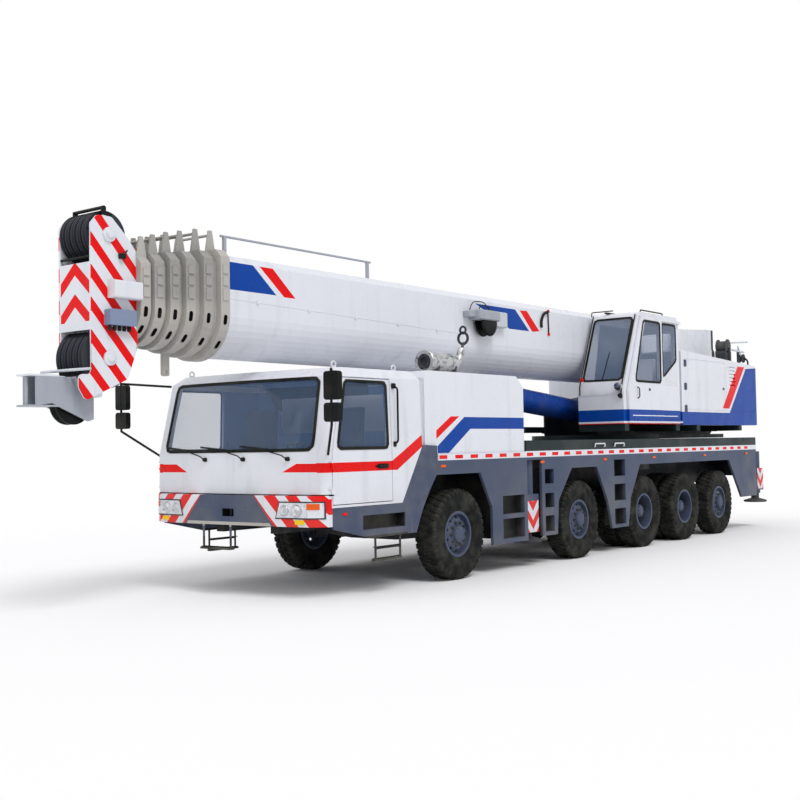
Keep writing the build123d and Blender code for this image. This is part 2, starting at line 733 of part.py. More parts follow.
for side, name in ((1, "left"), (-1, "right")):
    low, high = side_span(side, body_half_width - 225, body_half_width + 125)
    cab -= prism_y(door_outline(0), low, high) - behind_door_gap
    door = (cab_outer - behind_doors) & prism_y(door_outline(door_gap), low, high)
    door -= prism_y(window_outline(), low, high, 45)
    axis_x, axis_y = door_front_x + 10, side * (body_half_width + hinge_radius)
    strap_low, strap_high = side_span(side, body_half_width - 4, body_half_width + 8)
    for z in hinge_heights:
        pin = rod((axis_x, axis_y, z - 50), (axis_x, axis_y, z + 50), hinge_pin_radius)
        door += block(axis_x - 90, door_front_x - door_gap, strap_low, strap_high, z - 30, z + 30)
        door += block(door_front_x - door_gap - 1, axis_x, *side_span(side, body_half_width + 2,
                                                                       body_half_width + 8), z - 30, z + 30)
        door += rod((axis_x, axis_y, z - 30), (axis_x, axis_y, z + 30), hinge_radius)
        door -= rod((axis_x, axis_y, z - 31), (axis_x, axis_y, z + 31), hinge_pin_radius + running_gap)
        for below, above in ((-50, -30 - seat_gap), (30 + seat_gap, 50)):
            cab += rod((axis_x, axis_y, z + below), (axis_x, axis_y, z + above), hinge_radius)
            foot_low, foot_high = side_span(side, body_half_width - 22, body_half_width + 8)
            cab += block(axis_x, axis_x + 45, foot_low, foot_high, z + below, z + above)
        cab += pin
    save(f"door_{name}", door)
save("cab_shell", cab)
glass_skin = cab_outer - cab_form(glass_thickness, cab_floor_top_z, glass_thickness)
save("cab_glass", [glass_skin & screen_cut, glass_skin & rear_window_cut])


# Cab interior
def seat(y, x, z):
    """A seat: pedestal, cushion, back and head rest in one piece."""
    side_view = [(x - 250, z + 300), (x + 250, z + 320), (x + 270, z + 400), (x - 130, z + 420),
                 (x - 230, z + 1050), (x - 330, z + 1050), (x - 290, z + 400)]
    body = prism_y(side_view, y - 240, y + 240, 30)
    return body + block(x - 150, x + 150, y - 150, y + 150, z, z + 320)


interior = [seat(700.0, axle_1_x + 1650, cab_floor_top_z), seat(-700.0, axle_1_x + 1650, cab_floor_top_z)]
dash_outline = [(axle_1_x + 2150, cab_floor_top_z), (axle_1_x + 2480, cab_floor_top_z),
                (axle_1_x + 2440, 1560), (axle_1_x + 2180, 1600), (axle_1_x + 2060, 1480)]
dash = prism_y(dash_outline, -screen_half_width, screen_half_width)
wheel_hub = (axle_1_x + 2110, 700, 1590)
column_foot = (axle_1_x + 2250, 700, 1400)
dash += rod(column_foot, wheel_hub, 30)
steering_ring = Plane(wheel_hub, z_dir=Vector(*wheel_hub) - Vector(*column_foot)) * Torus(220, 16)
dash += steering_ring
spoke = Plane(wheel_hub, z_dir=Vector(*wheel_hub) - Vector(*column_foot)) * Box(430, 40, 14)
dash += spoke
interior.append(dash)
save("cab_interior", interior)

# Bumper and step skirts
skirt_outline = [(axle_1_x + 2400, cab_bottom_z), (axle_1_x + 1210, cab_bottom_z), (axle_1_x + 960, 650),
                 (axle_1_x + 1753, 640), (axle_1_x + 2400, 780)]
bumper_plan = [(axle_1_x + 2380, -body_half_width), (axle_1_x + 2480, -body_half_width),
               (axle_1_x + 2610, -body_half_width + 180), (bumper_front_x, -600), (bumper_front_x, 600),
               (axle_1_x + 2610, body_half_width - 180), (axle_1_x + 2480, body_half_width),
               (axle_1_x + 2380, body_half_width)]
bumper = prism_z(bumper_plan, bumper_bottom_z + 110, cab_bottom_z)
inner_plan = [(x - bumper_wall, y * (1 - bumper_wall / body_half_width)) for x, y in bumper_plan]
inner_plan[0] = (axle_1_x + 2300, inner_plan[0][1])
inner_plan[-1] = (axle_1_x + 2300, inner_plan[-1][1])
bumper_outer = bumper
bumper -= prism_z(inner_plan, bumper_bottom_z, cab_bottom_z + 1)
lamp_outline = [(745, tray_low_z), (1200, tray_low_z), (1200, lamp_top_z), (790, lamp_top_z)]
tow_outline = [(-83, tray_low_z), (108, tray_low_z), (108, tow_top_z), (-83, tow_top_z)]
for outline in (lamp_outline, [(-y, z) for y, z in lamp_outline], tow_outline):
    near, far = min(y for y, z in outline) - tray_wall, max(y for y, z in outline) + tray_wall
    tray = block(tray_back_x - tray_wall, bumper_front_x, near, far, tray_low_z - tray_wall, cab_bottom_z)
    bumper += tray & bumper_outer
    bumper -= prism_x(outline, tray_back_x, bumper_front_x + 1, 15)
bumper += rod((tow_pin_x, tow_pin_y, tray_low_z - 1), (tow_pin_x, tow_pin_y, tow_top_z + 1), tow_pin_radius)
for y in (front_step_right_y, front_step_left_y):
    bumper += rod((front_step_x, y, front_step_z), (front_step_x, y, bumper_bottom_z + 120), step_bar_radius)
bumper += block(front_step_x - step_half_depth, front_step_x + step_half_depth, front_step_right_y - 20,
                front_step_left_y + 20, front_step_z - step_half_height, front_step_z + step_half_height)
for side in (1, -1):
    low, high = side_span(side, body_half_width - bumper_wall, body_half_width)
    bumper += prism_y(skirt_outline, low, high)
    w, y = tray_wall, side * (body_half_width - 16)
    pocket = block(pocket_rear_x - w, pocket_front_x + w, *side_span(side, pocket_back_y - w, body_half_width - 5),
                   pocket_low_z - w, pocket_high_z + w)
    bumper += pocket
    bumper -= block(pocket_rear_x, pocket_front_x, *side_span(side, pocket_back_y, body_half_width + 1),
                    pocket_low_z, pocket_high_z)
    for x in (side_step_rear_x, side_step_front_x):
        bumper += rod((x, y, side_step_z), (x, y, side_step_top_z), step_bar_radius)
    bumper += block(side_step_rear_x - 20, side_step_front_x + 20,
                    *side_span(side, body_half_width - 60, body_half_width - 2),
                    side_step_z - step_half_height, side_step_z + step_half_height)
    shelf_low, shelf_high = side_span(side, rail_inner_y + rail_width, body_half_width - 5)
    bumper += block(axle_1_x + 2300, axle_1_x + 2330, shelf_low, shelf_high, 800, cab_bottom_z)
save("bumper", bumper)


# Mirrors
def mirror(side):
    """A bracket from the cab's front corner with a main and a wide-angle head."""
    y = side * mirror_y
    upper = (axle_1_x + 2300, side * (body_half_width - 45), 2440)
    lower = (axle_1_x + 2460, side * (body_half_width - 15), 1590)
    top = (mirror_x, y, 2480)
    foot = (mirror_x, y, 1900)
    body = rod(upper, top, 14) + rod(top, foot, 14) + rod(lower, foot, 14)
    for corner in (top, foot):
        body += Pos(*corner) * Sphere(14)
    for z_low, z_high in ((1930, 2130), (2160, 2460)):
        low, high = side_span(side, mirror_y - 100, mirror_y + 100)
        body += prism_x([(low, z_low), (high, z_low), (high, z_high), (low, z_high)], mirror_x - 60, mirror_x + 10, 35)
    return body - cab_outer


save("mirrors", both_sides(mirror))


# Turntable
def turntable_side(side):
    """One side plate, with an ear about the boom's foot pin."""
    a = axle_1_x
    outline = [(a - 5150, 1780), (a - 5150, 2150), (a - 5500, 2380), (a - 6600, 2500), (a - 8100, 3050),
               (a - 8420, 3500), (a - 8700, 3700), (a - 9200, 3720), (a - 9750, 3600), (a - 10050, 3400),
               (a - 10050, 2000), (a - 9700, 1780)]
    low, high = side_span(side, side_plate_inner_y, side_plate_inner_y + side_plate_thickness)
    return prism_y(outline, low, high, 60)


turntable = rod((slew_x, 0, turntable_bottom_z), (slew_x, 0, turntable_bottom_z + turntable_plate), 1080)
turntable += block(axle_1_x - 9900, slew_x, -700, 700, turntable_bottom_z + 60, turntable_bottom_z + turntable_plate)
turntable += turntable_side(1) + turntable_side(-1)
plate_far = side_plate_inner_y + side_plate_thickness
turntable += rod((boom_pivot_x, -plate_far - 20, boom_pivot_z), (boom_pivot_x, plate_far + 10, boom_pivot_z),
                 boom_pin_radius)
turntable += rod((cylinder_base_x, -side_plate_inner_y - 10, cylinder_base_z),
                 (cylinder_base_x, side_plate_inner_y + 10, cylinder_base_z), cylinder_pin_radius)
turntable += block(axle_1_x - 10050, axle_1_x - 9990, -side_plate_inner_y - 10, side_plate_inner_y + 10, 1900, 2500)
for side in (1, -1):
    low, high = side_span(side, plate_far - 5, opcab_outer_y)
    for x_low, x_high in ((-4700, -4560), (-6560, -6420), (-7400, -7260), (-9300, -9160)):
        turntable += block(axle_1_x + x_low, axle_1_x + x_high, low, high, opcab_bottom_z - 110,
                           housing_bottom_z if x_high < -6600 or side < 0 else opcab_bottom_z)
    turntable += block(axle_1_x - 9900, axle_1_x - 4560, *side_span(side, plate_far - 5, plate_far + 60),
                       opcab_bottom_z - 110, housing_bottom_z)
save("turntable", turntable)

# Winch
drum_end = side_plate_inner_y - seat_gap
winch_profile = [(-drum_end, 0), (-drum_end, 90), (-400, 90), (-400, winch_flange_radius),
                 (-370, winch_flange_radius), (-370, winch_drum_radius), (370, winch_drum_radius),
                 (370, winch_flange_radius), (400, winch_flange_radius), (400, 90), (drum_end, 90), (drum_end, 0)]
save("winch", turned(winch_profile, (winch_x, 0, winch_z)))


# Machinery housings
def housing(side):
    """A closed housing with a roof that falls to the rear."""
    outline = [(housing_rear_x, housing_bottom_z), (housing_front_x, housing_bottom_z),
               (housing_front_x, housing_front_top_z), (housing_rear_x, housing_rear_top_z)]
    low, high = side_span(side, housing_inner_y, housing_outer_y)
    body = prism_y(outline, low, high, 40)
    near, far = side_span(side, housing_outer_y - seam_depth, housing_outer_y + 1)
    for front, rear, top in housing_doors:
        door = [(axle_1_x - rear, 2200), (axle_1_x - front, 2200), (axle_1_x - front, top), (axle_1_x - rear, top)]
        body -= prism_y(door, near, far) - prism_y(inset(door, seam_width), near, far)
    face, deep = side * (housing_outer_y + 1), side * (housing_outer_y - louvre_depth)
    for number in range(louvre_count):
        z = louvre_bottom_z + number * louvre_pitch
        body -= prism_x([(face, z), (face, z + louvre_height), (deep, z + louvre_height)], axle_1_x - 9070, axle_1_x - 8790)
    return body


save("machinery_housing", both_sides(housing))


# Operator's cab
def opcab_outline(depth):
    """The operator's cab from the side, its screen leaning back."""
    points = [(opcab_front_x, opcab_bottom_z), (opcab_front_x, 2500), (opcab_front_x - 540, opcab_top_z - 40),
              (opcab_front_x - 660, opcab_top_z), (opcab_rear_x + 90, opcab_top_z),
              (opcab_rear_x, opcab_top_z - 100), (opcab_rear_x, opcab_bottom_z)]
    return inset(points, depth)


def opdoor_outline(depth):
    """The sliding door's outline, drawn in by depth."""
    points = [(opdoor_rear_x, opdoor_bottom_z), (opdoor_front_x, opdoor_bottom_z), (opdoor_front_x, 2480),
              (opdoor_front_x - 490, opdoor_top_z), (opdoor_rear_x, opdoor_top_z)]
    return inset(points, depth)


w = opcab_wall
opcab_outer = prism_y(opcab_outline(0), opcab_inner_y, opcab_outer_y)
opcab_inner = prism_y(opcab_outline(w), opcab_inner_y + w, opcab_outer_y - w)
opcab_skin = opcab_outer - opcab_inner
opscreen_cut = prism_x([(opcab_inner_y + 60, 2440), (opcab_outer_y - 60, 2440), (opcab_outer_y - 60, opcab_top_z - 100),
                        (opcab_inner_y + 60, opcab_top_z - 100)], opcab_front_x - 700, opcab_front_x + 100, 50)
quarter_cut = prism_y([(axle_1_x - 6480, 2720), (axle_1_x - 5960, 2620), (axle_1_x - 5960, opcab_top_z - 140),
                       (axle_1_x - 6480, opcab_top_z - 140)], opcab_outer_y - 100, opcab_outer_y + 100, 45)
inner_side_cut = prism_y([(axle_1_x - 6450, 2650), (axle_1_x - 5000, 2650), (axle_1_x - 5250, opcab_top_z - 150),
                          (axle_1_x - 6450, opcab_top_z - 150)], opcab_inner_y - 100, opcab_inner_y + 100, 45)
oprear_cut = prism_x([(opcab_inner_y + 120, 2700), (opcab_outer_y - 120, 2700), (opcab_outer_y - 120, opcab_top_z - 250),
                      (opcab_inner_y + 120, opcab_top_z - 250)], opcab_rear_x - 50, opcab_rear_x + 100, 45)
opwindows = (opscreen_cut, quarter_cut, inner_side_cut, oprear_cut)
opcab = opcab_skin
for cut in opwindows:
    opcab -= cut
opcab -= prism_y(opdoor_outline(30), opcab_outer_y - 100, opcab_outer_y + 100)
rail_x_low, rail_x_high = opdoor_rear_x - opdoor_travel - 10, opdoor_front_x
door_y = opcab_outer_y + moving_gap
rail_far = door_y + opdoor_thickness
lower_rail_z = opdoor_bottom_z - seat_gap
opcab += block(rail_x_low, rail_x_high, opcab_outer_y - 5, rail_far, lower_rail_z - rail_bar, lower_rail_z)
opcab += block(rail_x_low, opdoor_front_x - 490, opcab_outer_y - 5, rail_far, opdoor_top_z + seat_gap,
               opdoor_top_z + seat_gap + rail_bar)
opcab += seat((opcab_inner_y + opcab_outer_y) / 2, axle_1_x - 5700, opcab_bottom_z + opcab_wall - 1)
save("operator_cab", opcab)
opglass_skin = opcab_outer - prism_y(opcab_outline(glass_thickness), opcab_inner_y + glass_thickness,
                                     opcab_outer_y - glass_thickness)
save("operator_cab_glass", [opglass_skin & cut for cut in opwindows])
opdoor = prism_y(opdoor_outline(0), door_y, rail_far)
opwindow = inset([(opdoor_rear_x, 2550), (opdoor_front_x - 100, 2550), (opdoor_front_x - 560, opdoor_top_z + 40),
                  (opdoor_rear_x, opdoor_top_z + 40)], window_border)
opdoor -= prism_y(opwindow, door_y - 1, rail_far + 1, 45)
save("operator_door", opdoor)

# Luffing cylinder
way = Vector(cylinder_head_x - cylinder_base_x, 0, cylinder_head_z - cylinder_base_z)
closed_length = way.length


def along(start, end, radius):
    """A round bar on the cylinder's own line, from start to end."""
    unit = way.normalized()
    base = Vector(cylinder_base_x, 0, cylinder_base_z)
    return rod(tuple(base + unit * start), tuple(base + unit * end), radius)


def eye(x, z):
    """The eye at one end of the cylinder."""
    n = cylinder_eye_half_width
    return rod((x, -n, z), (x, n, z), cylinder_eye_radius)


def eye_bore(x, z):
    """The bore of an eye."""
    n = cylinder_eye_half_width + 1
    return rod((x, -n, z), (x, n, z), cylinder_pin_radius + running_gap)


barrel_end = closed_length - 430
barrel = along(200, barrel_end, cylinder_radius) - along(260, barrel_end - 160, cylinder_bore_radius)
barrel -= along(barrel_end - 200, barrel_end + 1, cylinder_rod_radius + running_gap)
barrel += along(cylinder_eye_radius - 20, 220, 90) + eye(cylinder_base_x, cylinder_base_z)
barrel -= eye_bore(cylinder_base_x, cylinder_base_z)
save("luff_barrel", barrel)
luff_rod = along(300, closed_length - cylinder_eye_radius + 20, cylinder_rod_radius)
luff_rod += along(300, 380, cylinder_bore_radius - running_gap)
luff_rod += eye(cylinder_head_x, cylinder_head_z)
luff_rod -= eye_bore(cylinder_head_x, cylinder_head_z)
save("luff_rod", luff_rod)


# Boom
def boom_outline(depth):
    """The boom's section in Y and Z: a flat top over a round lower shell of bent flats."""
    centre_z = boom_bottom_z + boom_half_width
    top = boom_top_z - centre_z
    corner = (boom_half_width + top - 2 * depth) * cos(radians(45)) - boom_corner_cut + depth
    flats = [(90, top), (45, corner), (0, boom_half_width)]
    flats += [(-lower_shell_step * n, boom_half_width) for n in range(1, 11)]
    flats += [(180 - angle, reach) for angle, reach in reversed(flats[1:-1])]
    corners = []
    for (angle_0, reach_0), (angle_1, reach_1) in zip(flats, flats[1:] + flats[:1]):
        a0, b0, c0 = cos(radians(angle_0)), sin(radians(angle_0)), reach_0 - depth
        a1, b1, c1 = cos(radians(angle_1)), sin(radians(angle_1)), reach_1 - depth
        det = a0 * b1 - a1 * b0
        corners.append(((c0 * b1 - c1 * b0) / det, centre_z + (a0 * c1 - a1 * c0) / det))
    return corners


def boom_section(number, front, rear, lug_top):
    """One section: a thin-walled tube with a collar and two lugs at its front."""
    depth = boom_pitch * (number - 1)
    tube = prism_x(boom_outline(depth), rear, front)
    collar = prism_x(boom_outline(depth - collar_proud), front - collar_length, front)
    body = tube + collar
    top = boom_top_z - depth
    centre_z = boom_bottom_z + boom_half_width
    for side in (1, -1):
        low, high = side_span(side, 250, 275)
        lug = [(front - collar_length, top), (front, top), (front, top + collar_proud),
               (front - lug_slope, lug_top), (front - collar_length + lug_slope, lug_top),
               (front - collar_length, top + collar_proud)]
        body += prism_y(lug, low, high)
        face = boom_half_width - depth + collar_proud
        for low_share, high_share in collar_pads:
            low_z = centre_z + low_share * (top - centre_z)
            high_z = centre_z + high_share * (top - centre_z)
            body += block(front - collar_length + pad_margin, front - pad_margin,
                          *side_span(side, face - 5, face + pad_proud), low_z, high_z)
        middle = (front - collar_length / 2, 0, centre_z)
        for angle in slot_angles:
            turn = -angle if side > 0 else 180 + angle
            slot = block(-slot_width / 2, slot_width / 2, face - slot_depth, face + pad_proud,
                         -slot_length / 2, slot_length / 2)
            body -= Pos(*middle) * Rot(turn, 0, 0) * slot
    pin_z = lug_top - 50
    body += rod((front - collar_length / 2, -255, pin_z), (front - collar_length / 2, 255, pin_z), lug_pin_radius)
    if number < 6:
        body -= prism_x(boom_outline(depth + boom_wall), rear - 1, front - collar_length)
        body -= prism_x(boom_outline(depth + boom_pitch - seat_gap), front - collar_length - 1, front + 1)
    else:
        body -= prism_x(boom_outline(depth + boom_wall), rear - 1, front - 20)
    return body


def sheave(centre, half_width, radius):
    """A rope sheave: a disc with a groove turned in its rim."""
    h, g = half_width, 0.25 * half_width
    return turned([(-h, 0), (-h, radius), (-0.75 * h, radius), (-g, radius - 26), (g, radius - 26),
                   (0.75 * h, radius), (h, radius), (h, 0)], centre)


def foot_trim():
    """What the rounded foot of the base section takes away at its rear corners."""
    rear, top = boom_base_rear_x, boom_top_z + 100
    return prism_y([(rear - 1, top - 290), (rear + 290, top), (rear - 1, top)], -600, 600)


for number, front, rear, lug_top in boom_table:
    section = boom_section(number, front, rear, lug_top)
    if number == 1:
        section -= foot_trim()
        for side in (1, -1):
            low, high = side_span(side, boom_half_width - 80, boom_half_width + 8)
            section += rod((boom_pivot_x, low, boom_pivot_z), (boom_pivot_x, high, boom_pivot_z), 200)
            lug_low, lug_high = side_span(side, cylinder_eye_half_width + 8, cylinder_eye_half_width + 38)
            x, z = cylinder_head_x, cylinder_head_z
            lug = [(x - 380, boom_bottom_z + 30), (x - 130, z - 60), (x - 60, z - 130), (x + 60, z - 130),
                   (x + 130, z - 60), (x + 380, boom_bottom_z + 30)]
            section += prism_y(lug, lug_low, lug_high)
        section -= rod((boom_pivot_x, -600, boom_pivot_z), (boom_pivot_x, 600, boom_pivot_z),
                       boom_pin_radius + running_gap)
        section -= rod((x, -600, z), (x, 600, z), cylinder_pin_radius)
        start, end = (axle_1_x + 3000, tie_rod_y, tie_rod_z), (axle_1_x + 400, tie_rod_y, tie_rod_z)
        section += rod(start, end, tie_rod_radius)
        for at in (start[0] - 60, end[0] + 60):
            section += block(at - 20, at + 20, tie_rod_y - 15, tie_rod_y + 15, boom_top_z - 5, tie_rod_z)
    if number == 3:
        eye_x = front - 75
        hanger = prism_y([(eye_x - 45, hanger_eye_z - 45), (eye_x + 45, hanger_eye_z - 45),
                          (eye_x + 45, boom_bottom_z + 60), (eye_x - 45, boom_bottom_z + 60)], -20, 20, 25)
        section += hanger - rod((eye_x, -30, hanger_eye_z), (eye_x, 30, hanger_eye_z), 20)
    if number == 6:
        a = axle_1_x
        plate = [(a + 4130, 2720), (a + 4260, 2390), (a + 4768, 2165), (a + 4848, 2290), (a + 4848, 2424),
                 (head_front_x, 2424), (head_front_x, 3930), (a + 4620, 4020), (a + 4450, 4020),
                 (a + 4244, 3830), (a + 4130, 3686)]
        nose = [(a + 4563, 1985), (a + 4630, 1965), (a + 5050, 2140), (nose_tip_x - 70, 2115),
                (nose_tip_x - 70, 2405), (a + 4720, 2405), (a + 4563, 2260)]
        for side in (1, -1):
            low, high = side_span(side, head_half_width - head_plate, head_half_width)
            section += prism_y(plate, low, high, 50)
            section += prism_y(nose, *side_span(side, nose_half_width - 20, nose_half_width))
            section += prism_y([(a + 4220, 2920), (a + 4550, 2920), (a + 4550, 3080), (a + 4220, 3080)],
                               *side_span(side, head_half_width - 1, head_half_width + 100), 15)
            tube_low, tube_high = side_span(side, head_half_width - 3, head_half_width + 117)
            tube = prism_x([(tube_low, 3195), (tube_high, 3195), (tube_high, 3375), (tube_low, 3375)],
                           a + 4150, a + 4505, 20)
            section += tube - block(a + 4149, a + 4490, tube_low + 12, tube_high - 12, 3207, 3363)
        inner = head_half_width - head_plate + 5
        section += block(head_front_x - 30, head_front_x, -inner, inner, 2870, 3545)
        for z in (2105, 2400):
            section += block(a + 4970, nose_tip_x, -nose_half_width, nose_half_width, z, z + 18)
        section += rod((nose_tip_x - 35, 0, 2110), (nose_tip_x - 35, 0, 2405), 18)
        section += rod((a + 4820, -inner, 2395), (a + 4820, inner, 2395), 16)
        section += rod((a + 4520, -inner, 4112), (a + 4520, inner, 4112), 18)
        for side in (1, -1):
            low, high = side_span(side, inner - 25, inner)
            section += block(a + 4495, a + 4545, low, high, 3980, 4120)
        section += rod((nose_sheave_x, -100, nose_sheave_z), (nose_sheave_x, 100, nose_sheave_z), 30)
        section += sheave((nose_sheave_x, 0, nose_sheave_z), 55, nose_sheave_radius)
        section += block(a + 4560, a + 4660, -inner, inner, 2200, 2260)
        for z, radius in ((2593, 300), (3835, 250)):
            section += rod((a + 4480, -inner, z), (a + 4480, inner, z), 45)
            for y in (-180, -90, 0, 90, 180):
                section += sheave((a + 4480, y, z), 28, radius)
    save(f"boom_{number}", section)

print("closed length of the luffing cylinder", round(closed_length, 2))
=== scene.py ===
import json
from math import cos, pi, radians, sin
import bpy
import numpy as np
from mathutils import Matrix


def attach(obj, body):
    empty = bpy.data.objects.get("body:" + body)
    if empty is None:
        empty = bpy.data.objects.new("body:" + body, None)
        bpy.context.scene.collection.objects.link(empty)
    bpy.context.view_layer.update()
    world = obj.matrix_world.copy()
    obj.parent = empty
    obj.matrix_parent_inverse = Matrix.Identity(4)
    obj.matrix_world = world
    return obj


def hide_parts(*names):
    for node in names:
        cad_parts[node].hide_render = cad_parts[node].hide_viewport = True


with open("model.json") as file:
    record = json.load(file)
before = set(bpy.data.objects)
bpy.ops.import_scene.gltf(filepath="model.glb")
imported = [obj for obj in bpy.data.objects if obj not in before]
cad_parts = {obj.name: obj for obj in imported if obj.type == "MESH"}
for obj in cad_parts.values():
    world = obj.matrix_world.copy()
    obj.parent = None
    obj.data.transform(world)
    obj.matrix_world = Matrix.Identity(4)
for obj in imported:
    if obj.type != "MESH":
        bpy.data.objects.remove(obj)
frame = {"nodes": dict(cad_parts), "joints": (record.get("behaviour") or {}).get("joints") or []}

bl_info = {
    "name": "Mobile crane looks",
    "version": (1, 0, 0),
    "blender": (4, 5, 0),
    "location": "View3D > Sidebar > Crane",
    "description": "Finishes and small pieces of a five-axle mobile crane on its packed frame",
    "category": "Object",
}

# Places in this script are metres from axle 1: x forward, y to the left, z up from the ground.


def length(name, text, value):
    """A size in metres."""
    return bpy.props.FloatProperty(name=name, description=text, default=value, unit="LENGTH", precision=4)


def colour(name, text, value):
    """A colour, written as it is seen."""
    return bpy.props.FloatVectorProperty(name=name, description=text, default=value, size=3, min=0.0, max=1.0,
                                         subtype="COLOR_GAMMA")


class CraneSizes(bpy.types.PropertyGroup):
    """Sizes that the pieces share."""

    front_axle: length("Front axle", "Axle 1 ahead of the middle of the object", 2.5)
    twin_spacing: length("Twin spacing", "Between the two tyres of a twin wheel", 0.345)
    lug_depth: length("Lug depth", "Depth of the tread", 0.019)
    lugs: bpy.props.IntProperty(name="Lugs", description="Shoulder lugs round a tyre", default=38)
    nuts: bpy.props.IntProperty(name="Nuts", description="Wheel nuts on a rim", default=10)
    nut_radius: length("Nut radius", "Over a wheel nut's corners", 0.0185)
    seal_width: length("Seal width", "Rubber round the windows", 0.035)
    seal_proud: length("Seal height", "How far a seal stands out", 0.006)
    pane_thickness: length("Pane thickness", "Window glass in the doors", 0.006)
    boom_y: length("Boom half width", "Base section's side from the middle plane", 0.46)
    head_y: length("Head half width", "Head plates from the middle plane", 0.265)
    rope_radius: length("Rope radius", "Hoist rope", 0.011)
    beam_offset: length("Beam offset", "Right beams behind or ahead of the left ones", 0.32)


class CraneColours(bpy.types.PropertyGroup):
    """Colours of the paint and the other materials."""

    white: colour("White", "Body paint", (0.86, 0.87, 0.90))
    red: colour("Red", "Stripes", (0.88, 0.05, 0.06))
    blue: colour("Blue", "Bands and the cylinder", (0.01, 0.25, 0.60))
    slate: colour("Slate", "Chassis and rims", (0.27, 0.31, 0.40))
    beige: colour("Beige", "Boom collars", (0.70, 0.69, 0.67))
    black: colour("Black", "Rubber and plastic", (0.07, 0.08, 0.08))
    iron: colour("Iron", "Axles and springs", (0.20, 0.21, 0.24))
    steel: colour("Steel", "Bright metal", (0.74, 0.75, 0.76))
    glass: colour("Glass", "Tinted windows", (0.42, 0.52, 0.66))
    cloth: colour("Cloth", "Seats", (0.22, 0.23, 0.26))
    amber: colour("Amber", "Lamps at the sides", (0.88, 0.36, 0.08))
    yellow: colour("Yellow", "Front reflectors", (0.93, 0.76, 0.10))
    shade: colour("Shade", "Coaming and turntable base", (0.12, 0.17, 0.18))
    grey: colour("Grey", "Nose and brackets", (0.63, 0.65, 0.69))
    # On the panels behind the cab this colour is painted shade over their white paint; on the brackets it is their own.
    pale: colour("Pale", "Panel behind the cab and the brackets", (0.78, 0.80, 0.83))
    lining: colour("Lining", "Inside of the cabs", (0.44, 0.57, 0.76))
    dust: colour("Dust", "Road dirt", (0.55, 0.53, 0.49))


def sizes():
    return bpy.context.scene.crane_sizes


def colours():
    return bpy.context.scene.crane_colours


# Shapes are pairs: points in rows of three, and a list of arrays of faces with the same count of corners.
def joined(*shapes):
    """Several shapes as one."""
    starts = np.cumsum([0] + [len(points) for points, faces in shapes])
    return (np.concatenate([points for points, faces in shapes]),
            [part + start for (points, faces), start in zip(shapes, starts) for part in faces])


def outward(shape):
    """The shape with its faces turned so that the volume they close, summed over fans from the origin, is positive."""
    points, faces = shape
    volume = 0.0
    for part in faces:
        for k in range(1, part.shape[1] - 1):
            a, b, c = points[part[:, 0]], points[part[:, k]], points[part[:, k + 1]]
            volume += np.einsum("ij,ij->", a, np.cross(b, c))
    return shape if volume > 0 else (points, [part[:, ::-1] for part in faces])


def mirrored(shape):
    """The shape on the other side of the middle plane."""
    points, faces = shape
    return points * (1, -1, 1), [part[:, ::-1] for part in faces]


def both(shape):
    """The shape on the left and the right."""
    return joined(shape, mirrored(shape))


def grid(points, around, along):
    """A sheet over rows and columns of points, closed round either way where asked."""
    rows, columns = points.shape[:2]
    i = np.arange(rows if around else rows - 1)[:, None]
    j = np.arange(columns if along else columns - 1)[None, :]
    far_i, far_j = (i + 1) % rows, (j + 1) % columns
    corners = np.broadcast_arrays(i * columns + j, far_i * columns + j, far_i * columns + far_j, i * columns + far_j)
    return points.reshape(-1, 3), [np.stack(corners, -1).reshape(-1, 4)]


def solid(rings):
    """A closed body through rings of points, with a flat face on the first and the last."""
    count, size = rings.shape[:2]
    points, faces = grid(rings, False, True)
    caps = np.stack([np.arange(size)[::-1], np.arange(size) + (count - 1) * size])
    return outward((points, faces + [caps]))


def turned(profile, centre, axis=(0, 1, 0), sides=24):
    """A profile of (place along the axis, radius) turned about an axis: centre + place * axis + radius * (cos, sin)."""
    profile, axis = np.asarray(profile, float), np.asarray(axis, float)
    axis /= np.linalg.norm(axis)
    u = np.cross(axis, (0.3, 0.2, 1.0) if abs(axis[2]) < 0.9 else (1.0, 0.2, 0.3))
    u /= np.linalg.norm(u)
    angle = np.arange(sides) * 2 * pi / sides
    round_way = np.cos(angle)[:, None] * u + np.sin(angle)[:, None] * np.cross(axis, u)
    return solid(np.asarray(centre, float) + profile[:, None, :1] * axis + profile[:, None, 1:] * round_way)


def rounded(corners, radius, steps=4):
    """A closed outline whose corners are arcs: each point of the arc lies at radius from the corner's own centre."""
    p = np.asarray(corners, float)
    back, ahead = np.roll(p, 1, 0) - p, np.roll(p, -1, 0) - p
    back /= np.linalg.norm(back, axis=1)[:, None]
    ahead /= np.linalg.norm(ahead, axis=1)[:, None]
    half = np.arccos(np.clip((back * ahead).sum(1), -1, 1)) / 2
    middle = back + ahead
    middle /= np.linalg.norm(middle, axis=1)[:, None]
    centre = p + middle * (radius / np.sin(half))[:, None]
    first = p + back * (radius / np.tan(half))[:, None] - centre
    last = p + ahead * (radius / np.tan(half))[:, None] - centre
    sweep = (pi - 2 * half)[:, None, None]
    t = np.linspace(0, 1, steps)[None, :, None]
    arc = (first[:, None] * np.sin((1 - t) * sweep) + last[:, None] * np.sin(t * sweep)) / np.sin(sweep)
    return (centre[:, None] + arc).reshape(-1, 2)


def rect(x0, x1, z0, z1):
    """The corners of a rectangle."""
    return [(x0, z0), (x1, z0), (x1, z1), (x0, z1)]


def oblong(x, z, half_x, half_z, radius, steps=4):
    """A round-cornered rectangle about (x, z)."""
    return rounded(rect(x - half_x, x + half_x, z - half_z, z + half_z), radius, steps)


